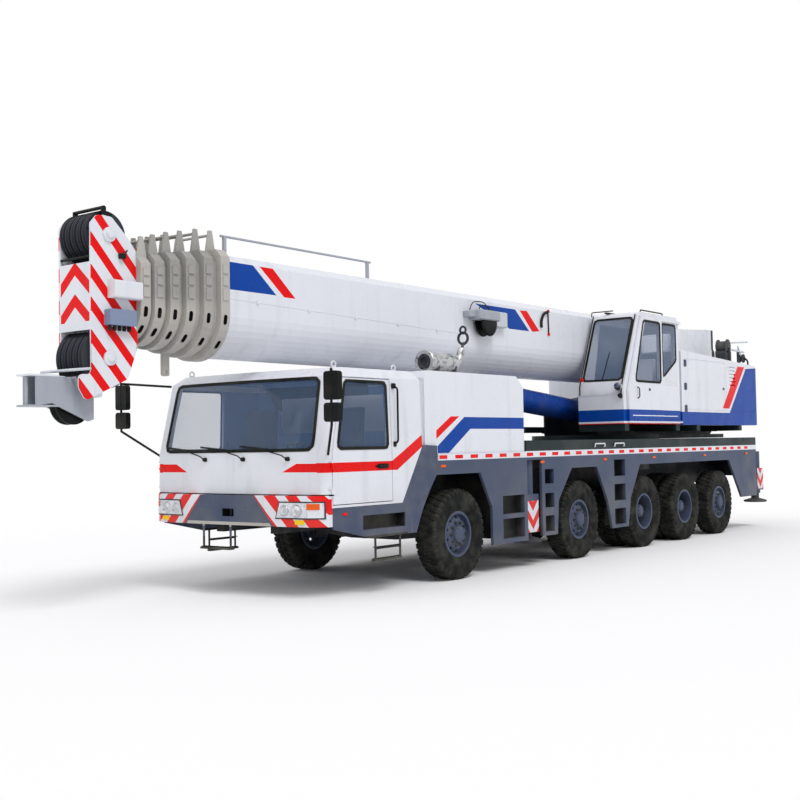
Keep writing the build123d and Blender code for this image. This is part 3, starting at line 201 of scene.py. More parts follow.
def pad(outline, low, high, chamfer=0.003, axis=1):
    """An outline in the two other axes carried along one axis, its rims drawn in by the chamfer."""
    outline = np.asarray(outline, float)
    middle, half = (outline.max(0) + outline.min(0)) / 2, (outline.max(0) - outline.min(0)) / 2
    small = middle + (outline - middle) * (1 - chamfer / half)
    step = chamfer * np.sign(high - low)
    rings = np.empty((4, len(outline), 3))
    rings[..., [i for i in range(3) if i != axis]] = np.stack([small, outline, outline, small])
    rings[..., axis] = np.array([low, low + step, high - step, high])[:, None]
    return solid(rings)


def box(x0, x1, y0, y1, z0, z1, radius=0.008):
    """A block with round upright edges and drawn-in rims."""
    radius = min(radius, 0.45 * min(x1 - x0, y1 - y0))
    outline = oblong((x0 + x1) / 2, (y0 + y1) / 2, (x1 - x0) / 2, (y1 - y0) / 2, radius, 3)
    return pad(outline, z0, z1, min(radius, 0.4 * (z1 - z0)) / 2, 2)


def bent(corners, radius, steps=5):
    """An open path whose inner corners are parabolas between points at radius from each corner."""
    p = np.asarray(corners, float)
    if len(p) < 3:
        return p
    back, ahead = p[:-2] - p[1:-1], p[2:] - p[1:-1]
    back *= (radius / np.linalg.norm(back, axis=1))[:, None]
    ahead *= (radius / np.linalg.norm(ahead, axis=1))[:, None]
    t = np.linspace(0, 1, steps)[None, :, None]
    curve = p[1:-1, None] + back[:, None] * (1 - t) ** 2 + ahead[:, None] * t ** 2
    return np.concatenate([p[:1], curve.reshape(-1, 3), p[-1:]])


def carried(section, path, closed=False):
    """A section carried along a flat path: its first axis lies in the path's plane, stretched at each mitre by
    1 / cos(half the turn), and its second axis is the plane's normal."""
    section, path = np.asarray(section, float), np.asarray(path, float)
    runs = np.roll(path, -1, 0) - path if closed else np.diff(path, axis=0)
    runs /= np.linalg.norm(runs, axis=1)[:, None]
    normal = np.linalg.svd(runs)[2][-1]
    before = np.roll(runs, 1, 0) if closed else np.concatenate([runs[:1], runs])
    after = runs if closed else np.concatenate([runs, runs[-1:]])
    middle = before + after
    middle /= np.linalg.norm(middle, axis=1)[:, None]
    stretch = np.sqrt(2 / (1 + (before * after).sum(1)))
    across = np.cross(normal, middle) * stretch[:, None]
    rings = path[:, None] + across[:, None] * section[None, :, :1] + normal * section[None, :, 1:]
    return outward(grid(rings, True, True)) if closed else solid(rings)


def tube(path, radius, sides=8, closed=False):
    """A round bar along a flat path."""
    angle = np.arange(sides) * 2 * pi / sides
    return carried(np.stack([np.cos(angle), np.sin(angle)], 1) * radius, path, closed)


def bar(corners, bend, radius, sides=8):
    """A round bar whose corners are bent."""
    return tube(bent(corners, bend), radius, sides)


def repeated(shape, offsets):
    """The shape once at each offset."""
    points, faces = shape
    offsets = np.asarray(offsets, float)
    starts = (np.arange(len(offsets)) * len(points))[:, None, None]
    return ((points[None] + offsets[:, None]).reshape(-1, 3),
            [(part[None] + starts).reshape(-1, part.shape[1]) for part in faces])


def ring_of(shape, centre, count, start=0.0):
    """The shape turned about the y axis through centre, count times round."""
    points, faces = shape
    angle = start + np.arange(count) * 2 * pi / count
    flat = points[None] - centre
    c, s = np.cos(angle)[:, None], np.sin(angle)[:, None]
    moved = np.stack([flat[..., 0] * c - flat[..., 2] * s, flat[..., 1] + 0 * c,
                      flat[..., 0] * s + flat[..., 2] * c], -1)
    starts = (np.arange(count) * len(points))[:, None, None]
    return ((moved + centre).reshape(-1, 3), [(part[None] + starts).reshape(-1, part.shape[1]) for part in faces])


def piece(name, shape, body, material, slot=None, smooth=35.0, values=None):
    """One finished object from a shape, moved from axle 1 to the frame's middle and riding on a body."""
    points, faces = shape
    mesh = bpy.data.meshes.new(name)
    corners = np.concatenate([part.ravel() for part in faces])
    counts = np.concatenate([np.full(len(part), part.shape[1]) for part in faces])
    mesh.vertices.add(len(points))
    mesh.vertices.foreach_set("co", (points + (sizes().front_axle, 0, 0)).astype(np.float32).ravel())
    mesh.loops.add(len(corners))
    mesh.loops.foreach_set("vertex_index", corners.astype(np.int32))
    mesh.polygons.add(len(counts))
    mesh.polygons.foreach_set("loop_start", (np.cumsum(counts) - counts).astype(np.int32))
    mesh.update(calc_edges=True)
    mesh.validate()
    for key, numbers in (values or {}).items():
        mesh.attributes.new(key, "FLOAT", "POINT").data.foreach_set("value", np.asarray(numbers, np.float32))
    mesh.shade_smooth()
    mesh.set_sharp_from_angle(angle=radians(smooth))
    made = bpy.data.objects.new(name, mesh)
    bpy.context.scene.collection.objects.link(made)
    made.data.materials.append(finish(material))
    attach(made, body)
    slot = slot or SLOTS.get(material)
    return made


# Finishes
def linear(value):
    """Display values as the linear ones that shaders take, with full opacity."""
    v = np.asarray(tuple(value), float)
    return (*np.where(v <= 0.04045, v / 12.92, ((v + 0.055) / 1.055) ** 2.4), 1.0)


def prism(view, corners, low, high):
    """Half spaces, as (direction, level), that close a flat-sided outline seen from the side, front or top."""
    axes, out = {"side": ((0, 2), 1), "front": ((1, 2), 0), "top": ((0, 1), 2)}[view]
    p = np.asarray(corners, float)
    q = np.roll(p, -1, 0)
    area = (p[:, 0] * q[:, 1] - q[:, 0] * p[:, 1]).sum()
    planes = []
    for (a, b), (c, d) in zip(p, q):
        direction = np.zeros(3)
        direction[list(axes)] = np.array([b - d, c - a]) * np.sign(area) / np.hypot(c - a, d - b)
        planes.append((direction, float(direction[list(axes)] @ (a, b))))
    for sign, level in ((1, low), (-1, high)):
        direction = np.zeros(3)
        direction[out] = sign
        planes.append((direction, sign * level))
    return planes


class Finish:
    """Writes one procedural finish: nodes fed by the piece's own coordinates, in metres from axle 1."""

    def __init__(self, name, base, **sockets):
        self.material = bpy.data.materials.new("crane_" + name)
        self.material.use_nodes = True
        self.tree = self.material.node_tree
        self.shader = self.tree.nodes["Principled BSDF"]
        self.shader.inputs["Specular IOR Level"].default_value = 0.1
        self.colour = linear(base)
        for key, value in sockets.items():
            self.shader.inputs[key.replace("_", " ").title().replace("Ior", "IOR")].default_value = value
        coordinates = self.node("TexCoord")
        self.place = self.node("Mapping", coordinates.outputs["Object"], (-sizes().front_axle, 0, 0)).outputs[0]
        apart = self.node("SeparateXYZ", self.place)
        self.x, self.y, self.z = apart.outputs
        self.folded = self.node("CombineXYZ", self.x, self.math("ABSOLUTE", self.y), self.z).outputs[0]

    def feed(self, socket, value):
        if isinstance(value, bpy.types.NodeSocket):
            self.tree.links.new(value, socket)
        elif value is not None:
            socket.default_value = value

    def node(self, kind, *feeds, **settings):
        made = self.tree.nodes.new("ShaderNode" + kind)
        for key, value in settings.items():
            setattr(made, key, value)
        for socket, value in zip(made.inputs, feeds):
            self.feed(socket, value)
        return made

    def math(self, operation, *feeds):
        return self.node("Math", *feeds, operation=operation).outputs[0]

    def dot(self, place, direction):
        return self.node("VectorMath", place, tuple(direction), operation="DOT_PRODUCT").outputs["Value"]

    def fit(self, value, low, high, new_low=0.0, new_high=1.0):
        """The value brought from low..high to the new range, held at its ends."""
        return self.node("MapRange", value, low, high, new_low, new_high, clamp=True).outputs[0]

    def noise(self, scale, detail=3.0, stretch=(1, 1, 1)):
        spread = self.node("Mapping", self.place, (0, 0, 0), (0, 0, 0), stretch).outputs[0]
        made = self.node("TexNoise")
        self.feed(made.inputs["Vector"], spread)
        made.inputs["Scale"].default_value = scale
        made.inputs["Detail"].default_value = detail
        return made.outputs[0]

    def region(self, planes, folded):
        """1 inside all the half spaces: the product of dot(place, direction) > level."""
        mask = None
        for direction, level in planes:
            test = self.math("GREATER_THAN", self.dot(self.folded if folded else self.place, direction), level)
            mask = test if mask is None else self.math("MULTIPLY", mask, test)
        return mask

    def stripes(self, direction, period, share, shift=0.0, folded=True):
        """1 on bands across a direction: the fraction of (dot(place, direction) + shift) / period under the share."""
        run = self.math("ADD", self.dot(self.folded if folded else self.place, direction), shift)
        return self.math("LESS_THAN", self.math("FRACT", self.math("DIVIDE", run, period)), share)

    def cover(self, mask, top):
        """Lays a colour over what is there as far as the mask says."""
        mixed = self.node("Mix", data_type="RGBA")
        self.feed(mixed.inputs[0], mask)
        self.feed(mixed.inputs[6], self.colour)
        self.feed(mixed.inputs[7], top if isinstance(top, bpy.types.NodeSocket) else linear(top))
        self.colour = mixed.outputs[2]
        return self

    def patches(self, top, scale, detail, low, high, most, stretch=(1, 1, 1)):
        """Lays a colour over wandering patches: its share rises to most as the noise goes from low to high."""
        return self.cover(self.fit(self.noise(scale, detail, stretch), low, high, 0.0, most), top)

    def bump(self, height, distance):
        made = self.node("Bump")
        made.inputs["Distance"].default_value = distance
        self.feed(made.inputs["Height"], height)
        if self.shader.inputs["Normal"].is_linked:
            self.feed(made.inputs["Normal"], self.shader.inputs["Normal"].links[0].from_socket)
        self.feed(self.shader.inputs["Normal"], made.outputs[0])
        return self

    def rough(self, low, high, scale=4.0):
        """Roughness that wanders between two values."""
        self.feed(self.shader.inputs["Roughness"], self.fit(self.noise(scale, 5.0), 0.3, 0.7, low, high))
        return self

    def done(self):
        self.feed(self.shader.inputs["Base Color"], self.colour)
        return self.material

    def finished(self, low, high, scale, detail, depth):
        """Closes with a wandering roughness and a fine grain."""
        return self.rough(low, high).bump(self.noise(scale, detail), depth).done()


def painted(name, base, areas=(), low=0.22, high=0.38, dust=0.5, boards=(), last=None):
    """Gloss paint with its coloured areas, slow patches, faint run marks and dust that thickens to the ground."""
    f = Finish(name, base)
    for top, planes, folded in areas:
        f.cover(f.region(planes, folded), top)
    for top, planes, folded, direction, period, share, shift in boards:
        mask = f.math("MULTIPLY", f.region(planes, folded), f.stripes(direction, period, share, shift, folded))
        f.cover(mask, top)
    c = colours()
    # Where last gives a mask, black is laid over it: the boom's collar slot openings, as painted shade.
    if last:
        f.cover(last(f), c.black)
    f.patches(c.dust, 0.9, 4.0, 0.45, 0.75, 0.06)
    f.patches(c.iron, 5.0, 4.0, 0.56, 0.78, 0.14, (1.0, 1.0, 0.07))
    low_down = f.fit(f.z, 1.5, 0.35)
    f.cover(f.math("MULTIPLY", low_down, f.fit(f.noise(2.4, 6.0), 0.35, 0.75, 0.0, dust)), c.dust)
    return f.finished(low, high, 60.0, 2.0, 0.0006)


def side(top, corners, low=0.3, high=1.6, folded=True):
    """An area of paint seen from the side."""
    return top, prism("side", corners, low, high), folded


def carrier_paint():
    """White cab with the red waist stripe, which turns up behind the door and ends in a wedge on the front."""
    c = colours()
    # Outline, seen from the front, of a painted reflection: a dark olive patch on the cab's rear wall, seen through the
    # windscreen.
    painted_reflection = [(-1.19, 2.45), (-0.966, 2.168), (-0.83, 2.113), (-0.273, 2.014), (0.6, 2.014), (0.6, 2.45)]
    areas = [
        side(c.red, [(1.27, 1.392), (2.52, 1.392), (2.52, 1.498), (1.37, 1.498)], 1.2),
        side(c.red, [(1.285, 1.386), (0.70, 1.703), (0.70, 1.842), (1.38, 1.494)], 1.2),
        (c.red, prism("front", [(0.769, 1.398), (1.6, 1.398), (1.6, 1.492), (0.973, 1.492)], 2.2, 2.8), True),
        (c.lining, prism("side", [(0.81, 1.09), (2.42, 1.09), (2.42, 1.6), (2.24, 2.40), (0.81, 2.40)],
                         -1.337, 1.337), False),
        (c.lining, prism("side", [(0.83, 2.39), (2.24, 2.39), (2.15, 2.53), (0.9, 2.53)], -1.25, 1.25), False),
        # Painted reflection on the cab's rear wall, dark olive.
        ((0.20, 0.22, 0.18), prism("front", painted_reflection, 0.80, 0.87), False),
        (c.black, prism("side", rect(2.42, 2.7, 1.14, 1.158), -1.6, 1.6), False),
    ]
    return painted("carrier_paint", c.white, areas)


def cover_paint():
    """White engine cover with a slanting red flash and the blue band behind it."""
    c = colours()
    areas = [
        side(c.red, [(0.16, 2.02), (-0.023, 2.022), (0.47, 1.742), (0.47, 1.846)], 1.2),
        side(c.blue, [(-0.129, 2.015), (-1.60, 2.015), (-1.60, 1.866), (-0.261, 1.866)], 1.2),
        side(c.blue, [(-0.129, 2.015), (-0.261, 1.866), (0.213, 1.57), (0.45, 1.57), (0.45, 1.655)], 1.2),
    ]
    return painted("cover_paint", c.white, areas)


# The red dashes on the deck's edge: where one starts, and their pitch
DASH_X, DASH_PITCH = -20.06, 0.3335


def deck_paint():
    """Slate deck and skirts with the white edge, its red dashes, and a dark chequered walkway."""
    c = colours()
    f = Finish("deck_paint", c.slate)
    f.cover(f.region(prism("side", rect(-9.9, 0.44, 1.567, 1.9), -1.6, 1.6), False), c.shade)
    f.cover(f.region(prism("side", rect(-9.9, 0.6, 1.482, 1.565), 1.36, 1.4), True), c.white)
    dashes = f.math("LESS_THAN", f.math("FRACT", f.math("DIVIDE", f.math("SUBTRACT", f.x, DASH_X), DASH_PITCH)), 0.5)
    band = f.region(prism("side", rect(-9.56, 0.45, 1.498, 1.545), 1.36, 1.4), True)
    f.cover(f.math("MULTIPLY", dashes, band), c.red)
    # Painted shade in the pockets and arches behind the skirts: black as the distance from the middle plane falls,
    # below the deck's top and ahead of its rear end.
    recess_shade = f.math("MULTIPLY", f.fit(f.math("ABSOLUTE", f.y), 1.36, 1.30, 0.0, 0.9), f.math("LESS_THAN", f.z, 1.47))
    f.cover(f.math("MULTIPLY", recess_shade, f.math("GREATER_THAN", f.x, -9.90)), c.black)
    walk = f.region(prism("top", rect(-9.8, 0.6, -1.33, 1.33), 1.55, 1.58), False)
    f.cover(walk, c.iron)
    f.patches(c.dust, 0.9, 4.0, 0.45, 0.75, 0.14)
    f.cover(f.math("MULTIPLY", f.fit(f.z, 1.5, 0.35), f.fit(f.noise(2.4, 6.0), 0.35, 0.75, 0.0, 0.45)), c.dust)
    f.rough(0.3, 0.5)
    slant, back = f.dot(f.place, (60.0, 60.0, 0)), f.dot(f.place, (60.0, -60.0, 0))
    studs = f.math("MULTIPLY", f.math("SINE", slant), f.math("SINE", back))
    f.bump(f.math("MULTIPLY", walk, f.math("GREATER_THAN", studs, 0.35)), 0.002)
    return f.done()


def bumper_paint():
    """Slate bumper with striped lamp panels: red diagonals on white."""
    c = colours()
    left = prism("front", [(0.425, 1.15), (0.735, 0.798), (1.6, 0.798), (1.6, 1.15)], 2.42, 2.8)
    areas = [
        (c.white, left, True),
        (c.beige, prism("front", [(-0.7, 0.79), (0.7, 0.79), (0.66, 0.845), (-0.66, 0.845)], 2.5, 2.8), False),
        (c.black, prism("front", rect(-0.090, 0.115, 0.905, 0.995), 2.53, 2.65), False),
        # Black over the bumper's lower part, with its step pockets, and deep behind its face: painted shade in the
        # pockets and recesses.
        (c.black, prism("front", rect(-1.4, 1.4, 0.3, 0.67), 1.1, 2.8), False),
        (c.black, prism("front", rect(-1.36, 1.36, 0.74, 0.90), 1.14, 1.91), False),
    ]
    boards = [(c.red, left, True, (0, 0.721, 0.692), 0.216, 0.55, 0.0853)]
    return painted("bumper_paint", c.slate, areas, dust=0.5, boards=boards)


def operator_paint():
    """White operator's cab with the blue band at its foot."""
    c = colours()
    areas = [
        side(c.blue, rect(-6.65, -4.5, 1.99, 2.175), -2.0, 2.0, False),
        side(c.red, rect(-6.65, -4.5, 1.94, 1.962), -2.0, 2.0, False),
        side(c.white, rect(-6.5, -4.75, 2.073, 2.088), 1.2, 2.0, False),
    ]
    return painted("operator_paint", c.white, areas)


def housing_paint():
    """White machinery housing: blue foot band, red diagonal and blue rear corner."""
    c = colours()
    areas = [
        side(c.blue, rect(-10.2, -6.6, 1.94, 2.164), 1.2),
        side(c.blue, [(-8.749, 2.147), (-9.594, 3.01), (-10.2, 3.05), (-10.2, 2.147)], 1.2),
        side(c.red, [(-8.444, 2.244), (-8.757, 2.244), (-9.527, 3.04), (-9.201, 3.04)], 1.2),
    ]
    return painted("housing_paint", c.white, areas)


def boom_paint():
    """White boom with slanting blue and red flashes near both ends and grey collars."""
    c = colours()
    areas = [
        side(c.blue, [(3.04, 3.711), (2.66, 3.71), (2.288, 3.405), (3.04, 3.406)]),
        side(c.red, [(2.558, 3.708), (2.344, 3.706), (1.97, 3.394), (2.161, 3.394)]),
        side(c.blue, [(-1.73, 3.66), (-2.787, 3.661), (-3.177, 3.361), (-2.621, 3.361)]),
        side(c.red, [(-2.914, 3.657), (-3.115, 3.666), (-3.474, 3.381), (-3.263, 3.359)]),
        side(c.beige, rect(3.054, 3.2, 2.4, 4.1), -1.0, 1.0, False),
        side(c.grey, rect(0.3, 3.05, 3.80, 4.1), 0.2, 0.4, False),
    ]
    # The collars' slot openings are laid black as painted shade.
    return painted("boom_paint", c.white, areas, last=slot_shade)


# Middles of the six collars, the slots' angles below the side, their straight half and end radius, the boom's axis
COLLARS = (3.12, 3.335, 3.555, 3.745, 3.925, 4.08)
SLOT_ANGLES = (9.0, 43.0)
SLOT_HALF, SLOT_RADIUS = 0.029, 0.027
BOOM_Z = 3.14


def slot_shade(f):
    """Painted shade in the collars' slot openings: 1 on capsules about each collar's middle and each ray's tangent:
    |x - middle| ^ 2 + max(|along| - half, 0) ^ 2 < radius ^ 2."""
    aside, beyond = None, None
    for middle in COLLARS:
        test = f.math("ABSOLUTE", f.math("SUBTRACT", f.x, middle))
        aside = test if aside is None else f.math("MINIMUM", aside, test)
    for angle in SLOT_ANGLES:
        tangent = np.array([0, sin(radians(angle)), cos(radians(angle))])
        along = f.math("ABSOLUTE", f.math("SUBTRACT", f.dot(f.folded, tangent), BOOM_Z * tangent[2]))
        test = f.math("MAXIMUM", f.math("SUBTRACT", along, SLOT_HALF), 0.0)
        beyond = test if beyond is None else f.math("MINIMUM", beyond, test)
    squares = f.math("ADD", f.math("MULTIPLY", aside, aside), f.math("MULTIPLY", beyond, beyond))
    return f.math("LESS_THAN", squares, SLOT_RADIUS ** 2)


def collar_paint():
    """Beige-grey collars and sliding sections, darker towards the top and paler below, with painted shade laid black in
    their slot openings.
    """
    c = colours()
    f = Finish("collar_paint", c.beige)
    # Darker towards the top: iron laid over the beige, rising with the height.
    f.cover(f.fit(f.z, 3.1, 3.3, 0.0, 0.25), c.iron)
    # Painted shade: the slot openings laid black.
    f.cover(slot_shade(f), c.black)
    f.patches(c.iron, 2.0, 5.0, 0.45, 0.75, 0.25)
    f.patches(c.dust, 9.0, 4.0, 0.55, 0.8, 0.2, (0.1, 1, 1))
    return f.finished(0.3, 0.5, 50.0, 2.0, 0.0008)


def head_paint():
    """White head: red diagonals on its side plates and two red chevrons on its front plate."""
    c = colours()
    plates = prism("side", rect(4.13, 4.9, 2.1, 4.03), 0.25, 0.267)
    chevron = prism("front", rect(0.0, 0.232, 2.955, 3.56), 4.66, 4.72)
    boards = [(c.red, plates, True, (0.746, 0, -0.666), 0.216, 0.43, 0.1312),
              (c.red, chevron, True, (0, 0.66, 0.75), 0.24, 0.42, 0.07)]
    areas = [
        side(c.beige, rect(-8.0, 4.148, 2.4, 4.1), -1.0, 1.0, False),
        side(c.iron, rect(4.149, 4.9, 3.56, 4.2), -0.232, 0.232, False),
        side(c.iron, rect(4.149, 4.9, 2.2, 2.86), -0.232, 0.232, False),
        side(c.grey, rect(4.4, 5.4, 1.8, 2.40), -0.2, 0.2, False),
        side(c.black, rect(4.5, 5.02, 1.8, 2.20), -0.072, 0.072, False),
        side((0.50, 0.55, 0.66), rect(4.19, 4.58, 2.90, 3.10), 0.269),
        side(c.black, rect(4.40, 4.70, 4.03, 4.2), -0.3, 0.3, False),
    ]
    # The collars' slot openings are laid black as painted shade.
    return painted("head_paint", c.white, areas, boards=boards, last=slot_shade)


def turntable_paint():
    """Dark turntable whose tall cheeks beside the boom's foot are white."""
    c = colours()
    areas = [side(c.white, rect(-9.8, -5.0, 2.2, 4.0), -1.0, 1.0, False)]
    return painted("turntable_paint", c.shade, areas, 0.35, 0.55)


def dished_rim():
    """Slate rim whose dish carries painted shade, darker with its depth, by distance from the middle plane."""
    c = colours()
    f = Finish("dished_rim", c.slate)
    # Painted shade in the rim's dish: black as the distance from the middle plane falls.
    f.cover(f.fit(f.math("ABSOLUTE", f.y), 1.29, 1.08, 0.0, 0.85), c.black)
    f.patches(c.dust, 3.0, 5.0, 0.4, 0.75, 0.2)
    return f.finished(0.35, 0.55, 60.0, 2.0, 0.0006)


def chassis_paint():
    """Slate frame whose pockets and arches carry painted shade: black that rises towards the middle plane, by distance
    from it.
    """
    c = colours()
    f = Finish("chassis_paint", c.slate)
    # Painted shade in the frame's pockets and arches: black as the distance from the middle plane falls, ahead of the
    # rear end.
    recess_shade = f.fit(f.math("ABSOLUTE", f.y), 1.345, 1.24, 0.0, 0.9)
    f.cover(f.math("MULTIPLY", recess_shade, f.math("GREATER_THAN", f.x, -9.90)), c.black)
    f.patches(c.dust, 3.0, 5.0, 0.4, 0.75, 0.2)
    return f.finished(0.35, 0.55, 60.0, 2.0, 0.0006)


# The four jack boards: their middle and how far each end's lies from it
BOARDS_X, BOARDS_REACH = -5.9125, 4.1725


def board_paint():
    """Outrigger jack's end board: red and white bands whose height falls with the distance from the board's middle."""
    c = colours()
    f = Finish("board_paint", c.white)
    along = f.math("SUBTRACT", f.x, f.math("MULTIPLY", f.math("LESS_THAN", f.y, 0.0), sizes().beam_offset))
    away = f.math("ABSOLUTE", f.math("SUBTRACT", f.math("ABSOLUTE", f.math("SUBTRACT", along, BOARDS_X)), BOARDS_REACH))
    run = f.math("SUBTRACT", f.z, f.math("MULTIPLY", away, 1.15))
    f.cover(f.math("LESS_THAN", f.math("FRACT", f.math("DIVIDE", run, 0.25)), 0.5), c.red)
    f.patches(c.dust, 2.4, 6.0, 0.35, 0.75, 0.3)
    return f.finished(0.3, 0.5, 60.0, 2.0, 0.0006)


def rubber():
    """Tyre rubber: dust in the grooves and on the walls, with moulded rings by distance from the hub."""
    c = colours()
    f = Finish("rubber", c.black, Specular_Ior_Level=0.15)
    hub = f.node("Attribute", attribute_name="hub_distance").outputs["Fac"]
    depth = f.node("Attribute", attribute_name="groove").outputs["Fac"]
    f.cover(f.math("MULTIPLY", depth, 0.10), c.dust)
    f.patches(c.dust, 7.0, 6.0, 0.4, 0.75, 0.15)
    rings = f.math("MULTIPLY", f.math("SINE", f.math("MULTIPLY", hub, 420.0)), f.math("LESS_THAN", hub, 0.40))
    return f.rough(0.72, 0.92).bump(rings, 0.0015).bump(f.noise(120.0, 2.0), 0.0008).done()


def plain(name, base, low, high, dust=0.15, grain=60.0, depth=0.0006, metallic=0.0):
    """A finish of one colour with wandering tone, dust and a fine grain."""
    c = colours()
    f = Finish(name, getattr(c, base), Metallic=metallic)
    f.patches(c.dust, 3.0, 5.0, 0.4, 0.75, dust)
    f.patches(c.black, 11.0, 4.0, 0.55, 0.8, dust)
    return f.finished(low, high, grain, 2.0, depth)


def silencer_metal():
    """Aluminised drum with heat tint and soot patches."""
    c = colours()
    f = Finish("silencer_metal", c.steel, Metallic=0.85)
    f.patches(c.beige, 4.0, 5.0, 0.42, 0.7, 0.6)
    f.patches(c.iron, 9.0, 5.0, 0.5, 0.68, 0.8, (1.0, 2.5, 2.5))
    return f.finished(0.25, 0.45, 25.0, 3.0, 0.0015)


def glazing():
    """Tinted glass: half clear, with a little dust along its lower part."""
    c = colours()
    f = Finish("glazing", c.glass, Alpha=0.18, Ior=1.5, Specular_Ior_Level=0.5)
    f.patches(c.dust, 2.0, 4.0, 0.45, 0.8, 0.10)
    return f.finished(0.02, 0.07, 1.2, 1.0, 0.002)


def lamp_glass():
    """Clear lamp glass over bright reflectors, ribbed upright."""
    c = colours()
    f = Finish("lamp_glass", c.white, Metallic=0.15, Specular_Ior_Level=0.5)
    f.patches(c.iron, 14.0, 3.0, 0.5, 0.7, 0.25)
    ribs = f.math("SINE", f.math("MULTIPLY", f.y, 320.0))
    return f.rough(0.08, 0.18).bump(ribs, 0.002).done()


def rope():
    """Wire rope: strands that wind round, as a sine of y plus x."""
    c = colours()
    f = Finish("rope", c.iron, Metallic=0.6)
    f.patches(c.black, 30.0, 3.0, 0.4, 0.7, 0.5)
    lay = f.math("SINE", f.dot(f.place, (260.0, 260.0, 260.0)))
    return f.rough(0.4, 0.6).bump(lay, 0.002).done()


FINISHES = {made.__name__: made for made in (
    carrier_paint, cover_paint, deck_paint, bumper_paint, operator_paint, housing_paint, boom_paint, collar_paint,
    head_paint, board_paint, chassis_paint, turntable_paint, dished_rim, rubber, silencer_metal, glazing, lamp_glass,
    rope)}

# Plain finishes, columns: colour, lowest and highest roughness, dust, grain, its depth, metallic
PLAIN = {
    "white_paint": ("white", 0.25, 0.4),
    "slate_paint": ("slate", 0.3, 0.5, 0.3),
    "rim_paint": ("slate", 0.35, 0.55, 0.2),
    "grey_paint": ("grey", 0.3, 0.5),
    "pale_paint": ("pale", 0.3, 0.5),
    "iron": ("iron", 0.5, 0.75, 0.35, 90.0, 0.0015),
    "black_plastic": ("black", 0.4, 0.6, 0.1, 200.0),
    "seal_rubber": ("black", 0.5, 0.7, 0.08, 150.0),
    "blue_paint": ("blue", 0.2, 0.35, 0.12),
    "chrome": ("steel", 0.08, 0.2, 0.1, 300.0, 0.0002, 1.0),
    "cloth": ("cloth", 0.8, 0.95, 0.08, 260.0, 0.0015),
    "amber_lens": ("amber", 0.1, 0.2, 0.06, 160.0),
    "red_lens": ("red", 0.1, 0.2, 0.06, 160.0),
    "yellow_lens": ("yellow", 0.1, 0.2, 0.06, 160.0),
}

# The slot of each finish, for the pieces that name none
SLOTS = {
    "black_plastic": "dark_plastic", "seal_rubber": "dark_plastic", "iron": "cast_metal", "glazing": "glass",
    "white_paint": "white_paint", "grey_paint": "chassis_paint", "slate_paint": "chassis_paint",
    "pale_paint": "chassis_paint", "board_paint": "chassis_paint", "bumper_paint": "chassis_paint",
    "chrome": "silencer_metal", "lamp_glass": "silencer_metal", "silencer_metal": "silencer_metal",
}


def finish(name):
    """The finish of that name, made the first time it is asked for."""
    made = bpy.data.materials.get("crane_" + name)
    return made or (plain(name, *PLAIN[name]) if name in PLAIN else FINISHES[name]())


# CAD nodes and their finishes, columns: start of the node's name, finish
NODE_FINISHES = (
    ("rim_3", "dished_rim"), ("rim_4", "dished_rim"), ("rim_", "rim_paint"), ("knuckle_", "iron"),
                 ("running_gear", "iron"), ("chassis_frame", "chassis_paint"),
    ("deck", "deck_paint"), ("engine_cover", "cover_paint"), ("silencer", "silencer_metal"),
    ("cab_shell", "carrier_paint"), ("door_", "carrier_paint"), ("cab_glass", "glazing"), ("cab_interior", "cloth"),
    ("bumper", "bumper_paint"), ("mirrors", "black_plastic"), ("outrigger_", "slate_paint"), ("jack_", "iron"),
    ("turntable", "turntable_paint"), ("operator_cab_glass", "glazing"), ("operator_cab", "operator_paint"),
    ("machinery_housing", "housing_paint"), ("winch", "iron"), ("operator_door", "operator_paint"),
    ("boom_1", "boom_paint"), ("boom_6", "head_paint"), ("boom_", "collar_paint"), ("luff_barrel", "blue_paint"),
    ("luff_rod", "chrome"), ("tyre_", "rubber"),
)


class CRANE_OT_finishes(bpy.types.Operator):
    """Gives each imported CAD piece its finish."""

    bl_idname = "crane.finishes"
    bl_label = "Finishes of the packed pieces"

    def execute(self, context):
        for node, packed in frame["nodes"].items():
            name = next(finish_name for start, finish_name in NODE_FINISHES if node.startswith(start))
            packed.data.materials.clear()
            packed.data.materials.append(finish(name))
        return {"FINISHED"}


def wheels():
    """Number, side, and centre of each wheel, from the joints they roll on."""
    for joint in frame["joints"]:
        if joint["name"].startswith("roll_"):
            x, y, z = joint["pos_m"]
            yield joint["name"][5:], (1 if y > 0 else -1), np.array([x - sizes().front_axle, y, z])


